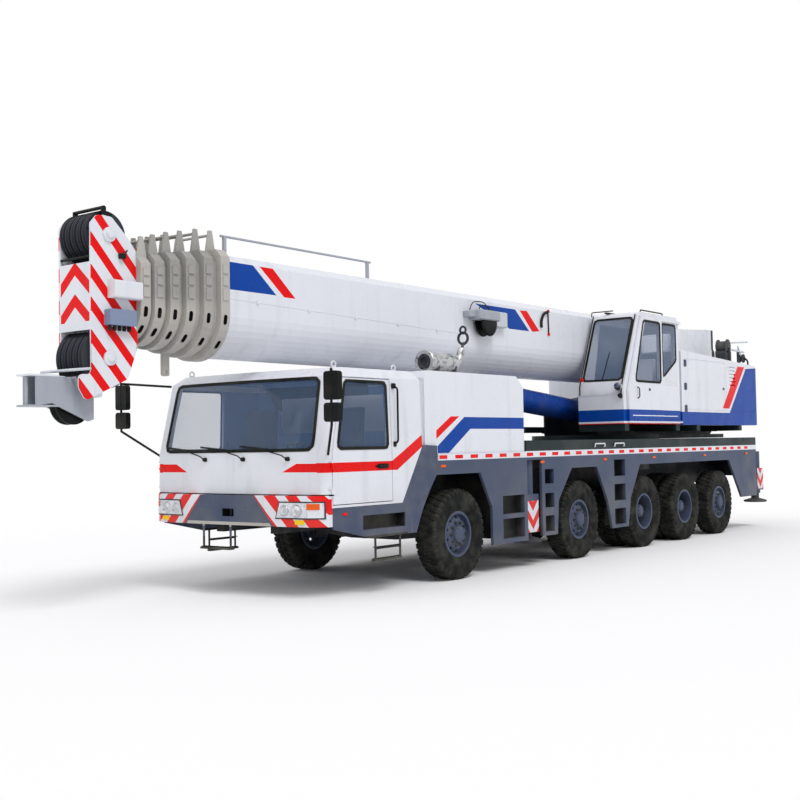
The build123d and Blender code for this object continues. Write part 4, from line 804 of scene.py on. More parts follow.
class CRANE_OT_tyres(bpy.types.Operator):
    """Tyres with a cut tread. Round the tyre each pitch is a groove, a rise, a block and a fall; across it, rows of
    (y, radius, cut, turn) carry that pattern: radius less cut * groove depth, turned by a share of a pitch. The
    shoulder blocks run down the wall, and two grooves part them from the middle blocks."""

    bl_idname = "crane.tyres"
    bl_label = "Tyres"

    def execute(self, context):
        s = sizes()
        half = [(0.105, 0.272, 0, 0), (0.126, 0.296, 0, 0), (0.146, 0.340, 0, 0), (0.155, 0.385, 0, 0),
                (0.1565, 0.430, 0, 0), (0.1545, 0.470, 0, 0), (0.151, 0.488, 0.1, 0), (0.1495, 0.496, 0.9, 0),
                (0.145, 0.525, 1, 0), (0.136, 0.547, 1, 0), (0.122, 0.5575, 1, 0), (0.085, 0.561, 1, 0.1),
                (0.048, 0.5625, 1, 0.2), (0.044, 0.5445, 0, 0.2), (0.035, 0.5445, 0, 0.5), (0.031, 0.5625, 1, 0.5)]
        left = np.array(half)
        right = left[::-1] * (-1, 1, 1, -1) + (0, 0, 0, 1)
        rows = np.concatenate([left, right])
        steps, cut = np.array([0.0, 0.26, 0.33, 0.62, 0.93]), np.array([1.0, 1.0, 0.0, 0.0, 0.0])
        turn = ((np.arange(s.lugs)[:, None] + steps).ravel()[:, None] + rows[:, 3]) * 2 * pi / s.lugs
        deep = np.tile(cut, s.lugs)[:, None] * rows[:, 2]
        radius = rows[:, 1] - deep * s.lug_depth
        y = rows[:, 0] * (1 - 0.035 * deep * (rows[:, 1] < 0.55))
        points = np.stack([radius * np.cos(turn), y + 0 * turn, radius * np.sin(turn)], -1)
        groove = np.maximum(deep, (rows[:, 2] == 0) & (rows[:, 1] > 0.54))
        flat = outward(grid(points, True, True))
        for name, out, centre in wheels():
            inner = [0.0] if name[0] in "125" else [0.0, -out * s.twin_spacing]
            places = centre + np.array([[0, y, 0] for y in inner])
            values = {"hub_distance": np.tile(np.hypot(points[..., 0], points[..., 2]).ravel(), len(inner)),
                      "groove": np.tile(groove.ravel(), len(inner))}
            made = piece("tread_" + name, repeated(flat, places), "wheel_" + name, "rubber", "tyre", 28, values)
            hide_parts("tyre_" + name)
        return {"FINISHED"}


class CRANE_OT_hub_fittings(bpy.types.Operator):
    """Wheel nuts on their studs and the hub cover's screws, turned round the hub at even angles."""

    bl_idname = "crane.hub_fittings"
    bl_label = "Hub fittings"

    def execute(self, context):
        s = sizes()
        for name, out, centre in wheels():
            single = name[0] in "125"
            face, circle = (0.108, 0.143) if single else (-0.157, 0.168)
            at = np.array([circle, 0, 0])
            nut = turned([(face, s.nut_radius * 1.3), (face + 0.004, s.nut_radius * 1.3), (face + 0.005, s.nut_radius),
                          (face + 0.024, s.nut_radius), (face + 0.028, s.nut_radius * 0.85)], at, sides=6)
            stud = turned([(face + 0.02, 0.011), (face + 0.042, 0.011), (face + 0.045, 0.008)], at, sides=8)
            cap, screw_circle = 0.14 if single else 0.055, 0.088
            screw = turned([(cap - 0.02, 0.008), (cap + 0.012, 0.008), (cap + 0.015, 0.006)],
                           (screw_circle, 0, 0), sides=6)
            shape = joined(ring_of(joined(nut, stud), np.zeros(3), s.nuts),
                           ring_of(screw, np.zeros(3), 8, 0.2))
            points, faces = shape
            if out < 0:
                points, faces = mirrored(shape)
            piece("nuts_" + name, (points + centre, faces), "wheel_" + name, "iron")
        return {"FINISHED"}


# Heights at which the cab's front and sides bend, and twice the radius of its front's bow
CAB_HEIGHTS = [1.01, 1.60, 2.45, 2.55]
BOW = 23.48


def cab_front(z):
    """How far ahead the middle of the carrier cab's bowed front lies at a height."""
    return np.interp(z, CAB_HEIGHTS, [2.59, 2.585, 2.39, 2.25])


def cab_half(z):
    """The carrier cab's half width at a height."""
    return np.interp(z, CAB_HEIGHTS, [1.375, 1.375, 1.345, 1.27])


def on_front(y, z, proud):
    """Points on the bowed front: its middle less y squared over twice the bow's radius, and a little proud."""
    y, z = np.asarray(y, float), np.asarray(z, float)
    return np.stack([cab_front(z) - y ** 2 / BOW + proud, y, z], -1)


def spaced(outline, count):
    """A closed outline as count points at even distances along it."""
    ring = np.concatenate([outline, outline[:1]])
    run = np.concatenate([[0], np.cumsum(np.linalg.norm(np.diff(ring, axis=0), axis=1))])
    at = np.linspace(0, run[-1], count, endpoint=False)
    return np.stack([np.interp(at, run, ring[:, k]) for k in range(ring.shape[1])], 1)


def strip(width, proud):
    """A flat section with round shoulders, width across and twice proud thick."""
    w, h = width / 2, proud
    return [(-w, -h), (w, -h), (w, h * 0.4), (w * 0.8, h), (-w * 0.8, h), (-w, h * 0.4)]


def sealed(path, proud=None):
    """Window rubber carried round a closed path."""
    s = sizes()
    return carried(strip(s.seal_width, proud or s.seal_proud), path, True)


def at_side(outline, y):
    """An outline seen from the side, set at a distance from the middle plane."""
    return np.stack([outline[:, 0], y + 0 * outline[:, 0], outline[:, 1]], 1)


# The window in the carrier cab's door, seen from the side
DOOR_WINDOW = [(1.441, 1.65), (2.322, 1.65), (2.16, 2.395), (1.441, 2.395)]


class CRANE_OT_cab_glazing(bpy.types.Operator):
    """Rubber round the windscreen, carried along its outline, and each door's pane and its seal, whose y follows
    the leaning wall's half width at each height."""

    bl_idname = "crane.cab_glazing"
    bl_label = "Carrier cab glazing"

    def execute(self, context):
        s = sizes()
        screen = spaced(rounded([(-1.19, 1.64), (1.19, 1.64), (1.15, 2.43), (-1.15, 2.43)], 0.07, 6), 96)
        seal = sealed(on_front(screen[:, 0], screen[:, 1], 0.002))
        piece("windscreen_seal", seal, "chassis", "seal_rubber")
        outline = rounded(DOOR_WINDOW, 0.045, 5)
        rim = spaced(outline, 64)
        for name, out in (("left", 1), ("right", -1)):
            rings = [at_side(outline, out * (cab_half(outline[:, 1]) - depth))
                     for depth in (0.012, 0.012 + s.pane_thickness)]
            piece("pane_" + name, solid(np.stack(rings)), "door_" + name, "glazing")
            path = at_side(rim, out * (cab_half(rim[:, 1]) + 0.001))
            seal = sealed(path)
            piece("door_seal_" + name, seal, "door_" + name, "seal_rubber")
        return {"FINISHED"}


class CRANE_OT_cab_fittings(bpy.types.Operator):
    """Wipers, lifting eyes, grab handles and door handles on the carrier cab."""

    bl_idname = "crane.cab_fittings"
    bl_label = "Carrier cab fittings"

    def execute(self, context):
        wipers = []
        for y in (-0.43, 0.20, 0.86):
            foot, elbow = (y, 1.545), (y - 0.06, 1.585)
            tip = (y - 0.42, 1.665)
            arm = on_front([foot[0], elbow[0], tip[0]], [foot[1], elbow[1], tip[1]], [0.03, 0.04, 0.028])
            blade = on_front([tip[0] + 0.26, tip[0] - 0.30], [1.640, 1.690], [0.018, 0.018])
            wipers += [tube(arm, 0.007, 6), carried(strip(0.012, 0.010), blade),
                       turned([(0.0, 0.026), (0.035, 0.022), (0.045, 0.012)], on_front(y, 1.545, 0.0), (1, 0, 0), 14)]
        piece("wipers", joined(*wipers), "chassis", "black_plastic")

        eyes = []
        for x, y in ((2.12, 1.16), (1.05, 1.16)):
            ring = [(x + 0.035 * cos(a), y, 2.588 + 0.035 * sin(a)) for a in np.linspace(-0.6, pi + 0.6, 12)]
            eyes += [tube(ring, 0.009, 6), turned([(2.55, 0.03), (2.562, 0.03), (2.57, 0.02)],
                                                  (x, y, 0), (0, 0, 1), 12)]
        piece("roof_eyes", both(joined(*eyes)), "chassis", "white_paint")

        grab = bar([(1.315, 1.372, 2.36), (1.315, 1.425, 2.33), (1.315, 1.425, 1.72),
                    (1.315, 1.378, 1.69)], 0.03, 0.012)
        feet = joined(pad(oblong(1.315, 2.36, 0.025, 0.03, 0.01), 1.35, 1.385),
                      pad(oblong(1.315, 1.69, 0.025, 0.03, 0.01), 1.37, 1.385))
        piece("grab_handles", both(joined(grab, feet)), "chassis", "black_plastic")

        for name, out in (("left", 1), ("right", -1)):
            plate = pad(oblong(1.54, 1.442, 0.10, 0.028, 0.02), 1.372, 1.382)
            pull = pad(oblong(1.55, 1.445, 0.075, 0.013, 0.010), 1.380, 1.398)
            lock = turned([(1.376, 0.012), (1.392, 0.012), (1.394, 0.009)], (1.66, 0, 1.442), (0, 1, 0), 14)
            shape = joined(plate, pull, lock)
            piece("door_handle_" + name, shape if out > 0 else mirrored(shape), "door_" + name, "black_plastic")
        return {"FINISHED"}


# The bumper's left half from the middle, seen from above
BUMPER_PLAN = [(2.661, 0.6), (2.612, 1.197), (2.482, 1.378)]


def wrapped(low_start, high_start, end, back, proud):
    """A plate round the bumper's front: y runs from a slanting start to the end, and x is the bumper's at that y."""
    t = np.linspace(0, 1, 25)[:, None]
    y_low, y_high = low_start[0] + t * (end - low_start[0]), high_start[0] + t * (end - high_start[0])
    y = np.concatenate([y_low, y_high, y_high, y_low], 1)
    z = np.array([low_start[1], high_start[1], high_start[1], low_start[1]]) + 0 * y
    plan = np.array(BUMPER_PLAN)
    x = np.interp(y, plan[:, 1], plan[:, 0]) + np.array([proud, proud, back, back])
    return solid(np.stack([x, y, z], -1))


class CRANE_OT_lamps(bpy.types.Operator):
    """The bumper's upper part, bent round the cab's front, the wrapped headlamps with two round dishes each, the
    indicators, the reflectors below them, and the marker, skirt and tail lamps."""

    bl_idname = "crane.lamps"
    bl_label = "Lamps"

    def execute(self, context):
        inner = [(2.43, -1.372), (2.47, -1.372), (2.525, -1.19), (2.57, -0.6), (2.585, 0.0), (2.57, 0.6), (2.525, 1.19),
                 (2.47, 1.372), (2.43, 1.372)]
        panel = pad([(2.43, 1.378)] + BUMPER_PLAN[::-1] + [(x, -y) for x, y in BUMPER_PLAN] + [(2.43, -1.378)] + inner,
                    1.0095, 1.146, 0.002, 2)
        piece("bumper_upper", panel, "chassis", "bumper_paint")
        tray = wrapped((0.745, 0.895), (0.800, 1.085), 1.352, -0.01, 0.004)
        lens = wrapped((0.765, 0.910), (0.815, 1.070), 1.340, 0.0, 0.010)
        piece("lamp_trays", both(tray), "chassis", "iron", "dark_plastic")
        dishes = []
        for y, radius in ((0.875, 0.062), (1.045, 0.072)):
            x = float(np.interp(y, [0.6, 1.197], [2.661, 2.612]))
            ring = [(-0.02, radius), (0.012, radius), (0.018, radius * 0.92), (0.010, radius * 0.8),
                    (0.011, radius * 0.35), (0.018, radius * 0.2)]
            dishes.append(turned(ring, (x, y, 0.985), (1, 0, 0), 28))
        piece("headlamps", both(lens), "chassis", "lamp_glass")
        piece("headlamp_dishes", both(joined(*dishes)), "chassis", "chrome")
        indicators = both(wrapped((1.19, 0.998), (1.19, 1.062), 1.305, 0.005, 0.018))
        piece("reflectors", both(wrapped((1.02, 0.838), (1.02, 0.886), 1.14, -0.004, 0.006)), "chassis", "yellow_lens")
        marker = pad(oblong(0, 1.412, 0.05, 0.017, 0.008), 1.373, 1.388, 0.004)
        places = [(x, 0, 0) for x in (0.378, -1.941, -3.75, -5.4, -7.4, -9.3)]
        piece("amber_lamps", joined(indicators, both(repeated(marker, places))), "chassis", "amber_lens")
        small = pad(oblong(2.22, 0.935, 0.035, 0.016, 0.008), 1.373, 1.386, 0.004)
        piece("skirt_lamps", both(small), "chassis", "red_lens")
        tail = pad(oblong(1.13, 1.44, 0.17, 0.05, 0.015), -9.80, -9.828, 0.006, 0)
        piece("tail_lamps", both(tail), "chassis", "red_lens")
        return {"FINISHED"}


class CRANE_OT_steps(bpy.types.Operator):
    """Teeth on the hanging steps, mudguards and mud flaps, the panels behind the cab, the grab loops on the deck and
    the jacks' end boards."""

    bl_idname = "crane.steps"
    bl_label = "Steps and loops"

    def execute(self, context):
        teeth = repeated(box(2.607, 2.683, -0.006, 0.006, 0.549, 0.560, 0.002),
                         [(0, y, 0) for y in np.arange(-0.40, 0.05, 0.035)])
        piece("front_step_teeth", teeth, "chassis", "black_plastic")
        rung = box(1.235, 1.675, 1.335, 1.372, 0.510, 0.530)
        side_teeth = [repeated(box(-0.006, 0.006, 1.318, 1.371, z, z + 0.010, 0.002),
                               [(x, 0, 0) for x in np.arange(1.23, 1.70, 0.04)])
                      for z in (0.399, 0.528)]
        piece("side_step_teeth", both(joined(rung, *side_teeth)), "chassis", "black_plastic")
        guard = pad([(1.195, 1.012), (0.79, 1.664), (0.79, 1.676), (0.486, 1.662), (0.488, 1.335),
                     (0.663, 1.115), (0.794, 0.92),
                     (0.93, 0.645), (0.975, 0.652), (1.215, 1.0)], 1.3515, 1.3735, 0.002)
        piece("mud_flaps", both(box(-0.75, -0.73, 0.80, 1.34, 0.45, 1.25, 0.006)), "chassis", "black_plastic")
        piece("mudguards", both(guard), "chassis", "slate_paint")
        # The panels behind the cab take the pale colour as painted shade: they are white paint, shaded in their recess.
        gap = pad([(0.475, 1.655), (0.782, 1.67), (0.782, 2.43), (0.475, 2.47)], 1.28, 1.3285, 0.002)
        piece("gap_panels", both(gap), "chassis", "pale_paint", "white_paint")
        loops = [bar([(x - 0.15, 1.36, 1.60), (x - 0.15, 1.395, 1.60), (x - 0.15, 1.395, 1.648),
                      (x + 0.15, 1.395, 1.648),
                            (x + 0.15, 1.395, 1.60), (x + 0.15, 1.36, 1.60)], 0.02, 0.011) for x in (-3.58, -4.20)]
        piece("deck_loops", both(joined(*loops)), "chassis", "white_paint")
        for end, x, low, high in (("front", -1.74, 0.465, 0.89), ("rear", -10.085, 0.725, 1.12)):
            for hand, out, shift in (("left", 1, 0.0), ("right", -1, sizes().beam_offset)):
                board = pad(rect(x - 0.147, x + 0.147, low, high), 1.3335, 1.3385, 0.002)
                board = repeated(board, [(shift, 0, 0)])
                piece("jack_board_%s_%s" % (end, hand), board if out > 0 else mirrored(board),
                      "outrigger_%s_%s" % (end, hand), "board_paint")
        return {"FINISHED"}


class CRANE_OT_silencer_trim(bpy.types.Operator):
    """The silencer's drum with a flanged front, its straps and outlet bend, the stands and the clamp beside it."""

    bl_idname = "crane.silencer_trim"
    bl_label = "Silencer trim"

    def execute(self, context):
        y, z, front, rear, stand_x = 1.10, 2.70, 0.36, -0.25, (0.29, 0.20, -0.16)
        drum = turned([(rear, 0.055), (rear, 0.105), (rear + 0.025, 0.120), (rear + 0.03, 0.128), (front - 0.07, 0.128),
                       (front - 0.068, 0.150), (front - 0.01, 0.150), (front, 0.140), (front - 0.002, 0.10),
                       (front - 0.03, 0.09)],
                      (0, y, z), (1, 0, 0), 40)
        angle = np.arange(40) * 2 * pi / 40
        parts = [drum]
        for x in (0.22, -0.12):
            band = np.array(rect(-0.018, 0.018, 0.127, 0.133))
            points = np.stack([x + band[None, :, 0] + 0 * angle[:, None], y + band[:, 1] * np.cos(angle)[:, None],
                               z + band[:, 1] * np.sin(angle)[:, None]], -1)
            parts.append(outward(grid(points, True, True)))
            parts.append(tube([(x, y + 0.130, z + 0.02), (x, y + 0.155, z - 0.02)], 0.008, 6))
        elbow = tube(bent([(rear + 0.02, y, z), (-0.38, y, z + 0.02), (-0.46, y, 2.90)], 0.07, 10), 0.050, 18)
        drum_piece = piece("silencer_drum", joined(*parts, elbow), "chassis", "silencer_metal")
        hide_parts("silencer")
        ring = [(-0.785, 0.90 + 0.075 * cos(a), 3.075 + 0.075 * sin(a)) for a in angle]
        eye = [(-0.785, 0.90 + 0.045 * cos(a), 3.185 + 0.045 * sin(a)) for a in angle]
        stay = bar([(-0.47, 1.10, 2.86), (-0.50, 1.08, 2.93), (-0.775, 0.92, 3.01)], 0.03, 0.018)
        stands = [box(x - 0.035, x + 0.035, y - 0.10, y + 0.10, 2.545, 2.60, 0.01) for x in stand_x]
        saddles = [pad([(y - 0.10, 2.57), (y + 0.10, 2.57), (y + 0.125, 2.66), (y - 0.125, 2.66)],
                       x - 0.02, x + 0.02, 0.004, 0)
                   for x in stand_x]
        inlet = turned([(front - 0.035, 0.05), (front - 0.035, 0.085), (front + 0.006, 0.085), (front + 0.006, 0.06),
                        (front - 0.02, 0.05)], (0, y, z), (1, 0, 0), 28)
        piece("silencer_stands", joined(tube(ring, 0.018, 8, True), tube(eye, 0.015, 8, True), stay,
                                        inlet, *stands, *saddles),
              "chassis", "iron")
        return {"FINISHED"}


class CRANE_OT_operator_cab_trim(bpy.types.Operator):
    """Seals, sill and corner plate, the sliding door's pane and handle, lamps, wiper, rods and roof bars."""

    bl_idname = "crane.operator_cab_trim"
    bl_label = "Operator's cab trim"

    def execute(self, context):
        s = sizes()
        window = rounded([(-5.785, 2.625), (-4.862, 2.625), (-5.19, 3.605), (-5.785, 3.605)], 0.045, 5)
        piece("operator_pane", pad(window, 1.330, 1.330 + s.pane_thickness, 0.001), "operator_door", "glazing")
        rim = spaced(window, 56)
        seal = sealed(at_side(rim, 1.356))
        handle = bar([(-4.93, 1.352, 2.53), (-4.93, 1.392, 2.51), (-4.93, 1.392, 2.37),
                      (-4.93, 1.352, 2.35)], 0.02, 0.009)
        lock = turned([(1.352, 0.02), (1.368, 0.02), (1.372, 0.014)], (-5.355, 0, 2.50), (0, 1, 0), 16)
        piece("operator_door_trim", joined(seal, handle, lock), "operator_door", "seal_rubber")

        lean = np.array([(-4.53, 2.405), (-4.53, 2.50), (-4.594, 2.645)])
        sill = np.concatenate([lean + (0.005, 0), lean[::-1] - (0.003, 0)])
        ends = np.array([0.53, 1.295])[:, None]
        piece("screen_sill", solid(np.stack([sill[:, 0] + 0 * ends, ends + 0 * sill[:, 0], sill[:, 1] + 0 * ends],
                                            -1)), "superstructure",
              "white_paint")
        corner = pad([(-5.935, 2.595), (-5.935, 2.70), (-6.50, 3.03), (-6.50, 2.595)], 1.3095, 1.3135, 0.001)
        piece("quarter_corner", corner, "superstructure", "white_paint")
        quarter = spaced(rounded([(-6.48, 3.02), (-5.96, 2.715), (-5.96, 3.61), (-6.48, 3.61)], 0.045, 5), 48)
        seals = [sealed(at_side(quarter, 1.3095), 0.004)]
        screen = spaced(rounded(rect(0.575, 1.25, 2.64, 3.65), 0.05, 5), 60)
        lean = np.interp(screen[:, 1], [2.44, 2.5, 3.71], [-4.53, -4.53, -5.07])
        seals.append(sealed(np.stack([lean + 0.004, screen[:, 0], screen[:, 1]], 1)))
        wiper = tube([(-4.56, 0.90, 2.55), (-4.68, 0.93, 2.84), (-4.80, 0.95, 3.10)], 0.008, 6)
        rods = bar([(-4.52, 1.285, 2.35), (-4.50, 1.285, 2.42), (-4.53, 1.285, 2.56),
                    (-5.05, 1.285, 3.70)], 0.03, 0.010)
        near_rod = bar([(-4.515, 0.555, 2.42), (-4.515, 0.555, 2.56), (-5.045, 0.545, 3.72)], 0.03, 0.010)
        visor = bar([(-4.98, 0.55, 3.70), (-4.97, 0.55, 3.775), (-4.97, 0.94, 3.775)], 0.03, 0.009)
        black = joined(*seals, wiper, rods, near_rod, visor, box(-5.40, -5.08, 0.72, 0.76, 3.752, 3.775))
        piece("cab_front_lamp", turned([(0, 0.03), (0.02, 0.034), (0.028, 0.02)], (-4.515, 0.60, 2.66), (1, 0, 0), 16),
              "superstructure", "red_lens")
        piece("operator_cab_seals", black, "superstructure", "seal_rubber")

        lamp = turned([(0, 0.03), (0.012, 0.055), (0.07, 0.065), (0.075, 0.060), (0.08, 0.02)],
                      (-4.53, 1.25, 2.54), (1, 0, -0.15), 24)
        foot = turned([(0, 0.025), (0.02, 0.04), (0.05, 0.03)], (-4.53, 1.265, 2.39), (1, 0, 0), 18)
        piece("work_lamps", lamp, "superstructure", "chrome")
        piece("work_lamp_foot", foot, "superstructure", "black_plastic")
        bars = [bar([(x0, y, 3.74), (x0 - 0.03, y, 3.80), (x1 + 0.03, y, 3.80), (x1, y, 3.74)], 0.02, 0.012)
                for x0, x1, y in ((-5.35, -6.2, 1.22), (-5.35, -6.2, 0.62))]
        piece("operator_roof_bars", joined(*bars), "superstructure", "iron")
        return {"FINISHED"}


class CRANE_OT_housing_trim(bpy.types.Operator):
    """Winch casing plates, the rear reel with its rails, and hinges and latches on the machinery housings."""

    bl_idname = "crane.housing_trim"
    bl_label = "Machinery housing trim"

    def execute(self, context):
        casing = pad([(-7.9, 3.15), (-9.66, 3.15), (-9.66, 3.79), (-9.60, 3.81), (-8.24, 3.725),
                      (-8.02, 3.60)], 0.585, 0.61, 0.003)
        piece("winch_casing", both(casing), "superstructure", "white_paint")
        edge = box(-9.70, -9.64, 0.575, 0.625, 3.42, 3.80)
        piece("winch_casing_edges", both(edge), "superstructure", "iron")
        reel = turned([(0.95, 0.05), (0.95, 0.13), (0.965, 0.135), (0.975, 0.10), (1.125, 0.10), (1.135, 0.135),
                       (1.15, 0.13), (1.15, 0.05)],
                      (-9.15, 0, 3.43), (0, 1, 0), 28)
        legs = [box(x - 0.02, x + 0.02, y - 0.02, y + 0.02, 3.10, 3.40,
                    0.006) for x, y in ((-9.15, 0.93), (-9.15, 1.17), (-9.74, 1.10))]
        legs.append(box(-9.30, -9.00, 0.95, 1.15, 3.10, 3.34, 0.01))
        block = turned([(1.02, 0.03), (1.02, 0.085), (1.04, 0.085), (1.05, 0.06), (1.09, 0.06), (1.10, 0.085),
                        (1.12, 0.085), (1.12, 0.03)],
                       (-9.98, 0, 3.24), (0, 1, 0), 20)
        arm = bar([(-9.98, 1.14, 3.24), (-10.12, 1.14, 3.20), (-10.15, 1.14, 3.02)], 0.04, 0.018)
        piece("rear_reel", joined(reel, block, arm, *legs), "superstructure", "iron")
        rails = [tube([(-9.25, 1.10, 3.50), (-10.08, 1.16, 3.56)], 0.016),
                 tube([(-9.25, 1.12, 3.38), (-9.98, 1.12, 3.36)], 0.020),
                 tube([(-9.74, 1.10, 3.46), (-9.98, 1.08, 3.25)], 0.014)]
        piece("rear_rails", joined(*rails), "superstructure", "pale_paint")
        hinge = joined(pad(oblong(0, 0, 0.055, 0.06, 0.010), 1.298, 1.306),
                       tube([(0.01, 1.308, -0.055), (0.01, 1.308, 0.055)], 0.009))
        hinges = repeated(hinge, [(-6.86, 0, z) for z in (2.22, 2.60, 3.0)])
        latch = pad(oblong(0, 0, 0.03, 0.02, 0.008), 1.298, 1.312)
        piece("housing_hinges", both(joined(hinges, repeated(latch, [(-8.50, 0, 2.60)]))),
              "superstructure", "slate_paint")
        return {"FINISHED"}


class CRANE_OT_boom_trim(bpy.types.Operator):
    """The weld lines and clamps along the base section's side, the cable reel with its hood, hose arch, lamps, box."""

    bl_idname = "crane.boom_trim"
    bl_label = "Boom trim"

    def execute(self, context):
        s = sizes()
        y = s.boom_y
        weld = tube([(3.05, y, 3.305), (-1.42, y, 3.205)], 0.004)
        clamps = repeated(box(-0.015, 0.015, y - 0.004, y + 0.020, -0.018, 0.018),
                          [(x, 0, 3.236 + 0.0224 * x) for x in (2.6, 1.75, 0.9, 0.05, -0.8)])
        lower = tube([(-1.42, y, 2.985), (-4.54, y, 2.94)], 0.004)
        piece("boom_welds", joined(weld, clamps, lower), "boom_1", "white_paint")
        reel = turned([(0.0, 0.16), (0.02, 0.19), (0.03, 0.19), (0.03, 0.09), (0.13, 0.09), (0.13, 0.19),
                       (0.14, 0.19), (0.16, 0.16)],
                      (-1.84, y + 0.03, 3.38), (0, 1, 0), 36)
        wires = [bar([(-1.45, y + 0.1, 3.54), (-1.52, y + 0.1, 3.66), (-1.80, y + 0.1, 3.68),
                      (-1.98, y + 0.1, 3.55)], 0.08, 0.007, 6),
                 bar([(-1.62, y + 0.14, 3.54), (-1.66, y + 0.14, 3.62), (-1.90, y + 0.14, 3.60)], 0.05, 0.007, 6)]
        piece("cable_reel", joined(reel, *wires), "boom_1", "black_plastic")
        hood = joined(box(-2.08, -1.56, y - 0.004, y + 0.21, 3.41, 3.55, 0.03),
                      box(-1.60, -1.42, y - 0.004, y + 0.13, 3.44, 3.53, 0.02))
        piece("reel_hood", hood, "boom_1", "grey_paint")
        arch = joined(tube([(-3.72, y + 0.012, 3.70), (-3.73, y + 0.012, 3.36)], 0.011),
                      bar([(-3.72, y + 0.02, 3.70), (-3.57, y + 0.02, 3.66), (-3.49, y + 0.02, 3.52),
                           (-3.51, y + 0.02, 3.44)], 0.07, 0.021))
        piece("boom_arch", arch, "boom_1", "black_plastic")
        lamps = [turned([(0, 0.02), (0.02, 0.026), (0.03, 0.015)], (x, y, z), (0, 1, 0),
                        16) for x, z in ((-3.72, 3.71), (-3.73, 3.35))]
        piece("boom_lamps", joined(*lamps), "boom_1", "red_lens")
        piece("boom_box", box(-2.43, -2.11, y - 0.004, y + 0.10, 3.35, 3.57, 0.02), "boom_1", "pale_paint")
        return {"FINISHED"}


class CRANE_OT_head_trim(bpy.types.Operator):
    """The bosses, nose pins, rope guards, sockets and lamp of the boom's head."""

    bl_idname = "crane.head_trim"
    bl_label = "Boom head trim"

    def execute(self, context):
        y = sizes().head_y
        boss = turned([(y - 0.01, 0.075), (y + 0.02, 0.075), (y + 0.026, 0.066), (y + 0.026, 0.045),
                       (y + 0.04, 0.04), (y + 0.044, 0.03)],
                      (4.485, 0, 0), (0, 1, 0), 24)
        bosses = repeated(boss, [(0, 0, 3.835), (0, 0, 2.593)])
        piece("head_bosses", both(bosses), "boom_6", "white_paint")
        pins = [turned([(-0.09, 0.02), (-0.09, 0.045), (0.09, 0.045), (0.09, 0.02)], (4.787, 0, 2.145), (0, 1, 0), 20),
                bar([(4.72, y + 0.006, 2.48), (4.92, y + 0.006, 2.46), (4.92, -y - 0.006, 2.46),
                     (4.72, -y - 0.006, 2.48)], 0.03, 0.014)]
        piece("nose_pins", joined(*pins), "boom_6", "pale_paint", "white_paint")
        guards = repeated(tube([(4.69, -y + 0.03, 0), (4.69, y - 0.03, 0)], 0.014), [(0, 0, z) for z in (3.60, 3.88)])
        sockets = repeated(turned([(0, 0.020), (0.05, 0.020), (0.055, 0.014)], (0, y + 0.05, 2.922), (0, 0, -1), 12),
                           [(x, 0, 0) for x in (4.28, 4.34, 4.40, 4.46, 4.52)])
        lamp = joined(pad(oblong(4.337, 3.633, 0.035, 0.028, 0.01), y - 0.003, y + 0.05, 0.006),
                      tube([(4.30, y + 0.02, 3.66), (4.27, y + 0.02, 3.70)], 0.008, 6))
        piece("head_guards", joined(guards, both(sockets), lamp), "boom_6", "black_plastic")
        return {"FINISHED"}


class CRANE_OT_winch_rope(bpy.types.Operator):
    """Rope laid on the winch drum: a body of revolution whose radius rises by half a rope at each turn, as the
    absolute value of a sine along the drum."""

    bl_idname = "crane.winch_rope"
    bl_label = "Winch rope"

    def execute(self, context):
        s = sizes()
        place = np.linspace(-0.366, 0.366, 265)
        radius = 0.30 + s.rope_radius * np.abs(np.sin(pi * place / (2 * s.rope_radius)))
        profile = np.concatenate([[(-0.366, 0.271)], np.stack([place, radius], 1), [(0.366, 0.271)]])
        piece("winch_rope", turned(profile, (-9.75, 0, 3.2), (0, 1, 0), 48), "superstructure", "rope", "cast_metal", 60)
        return {"FINISHED"}


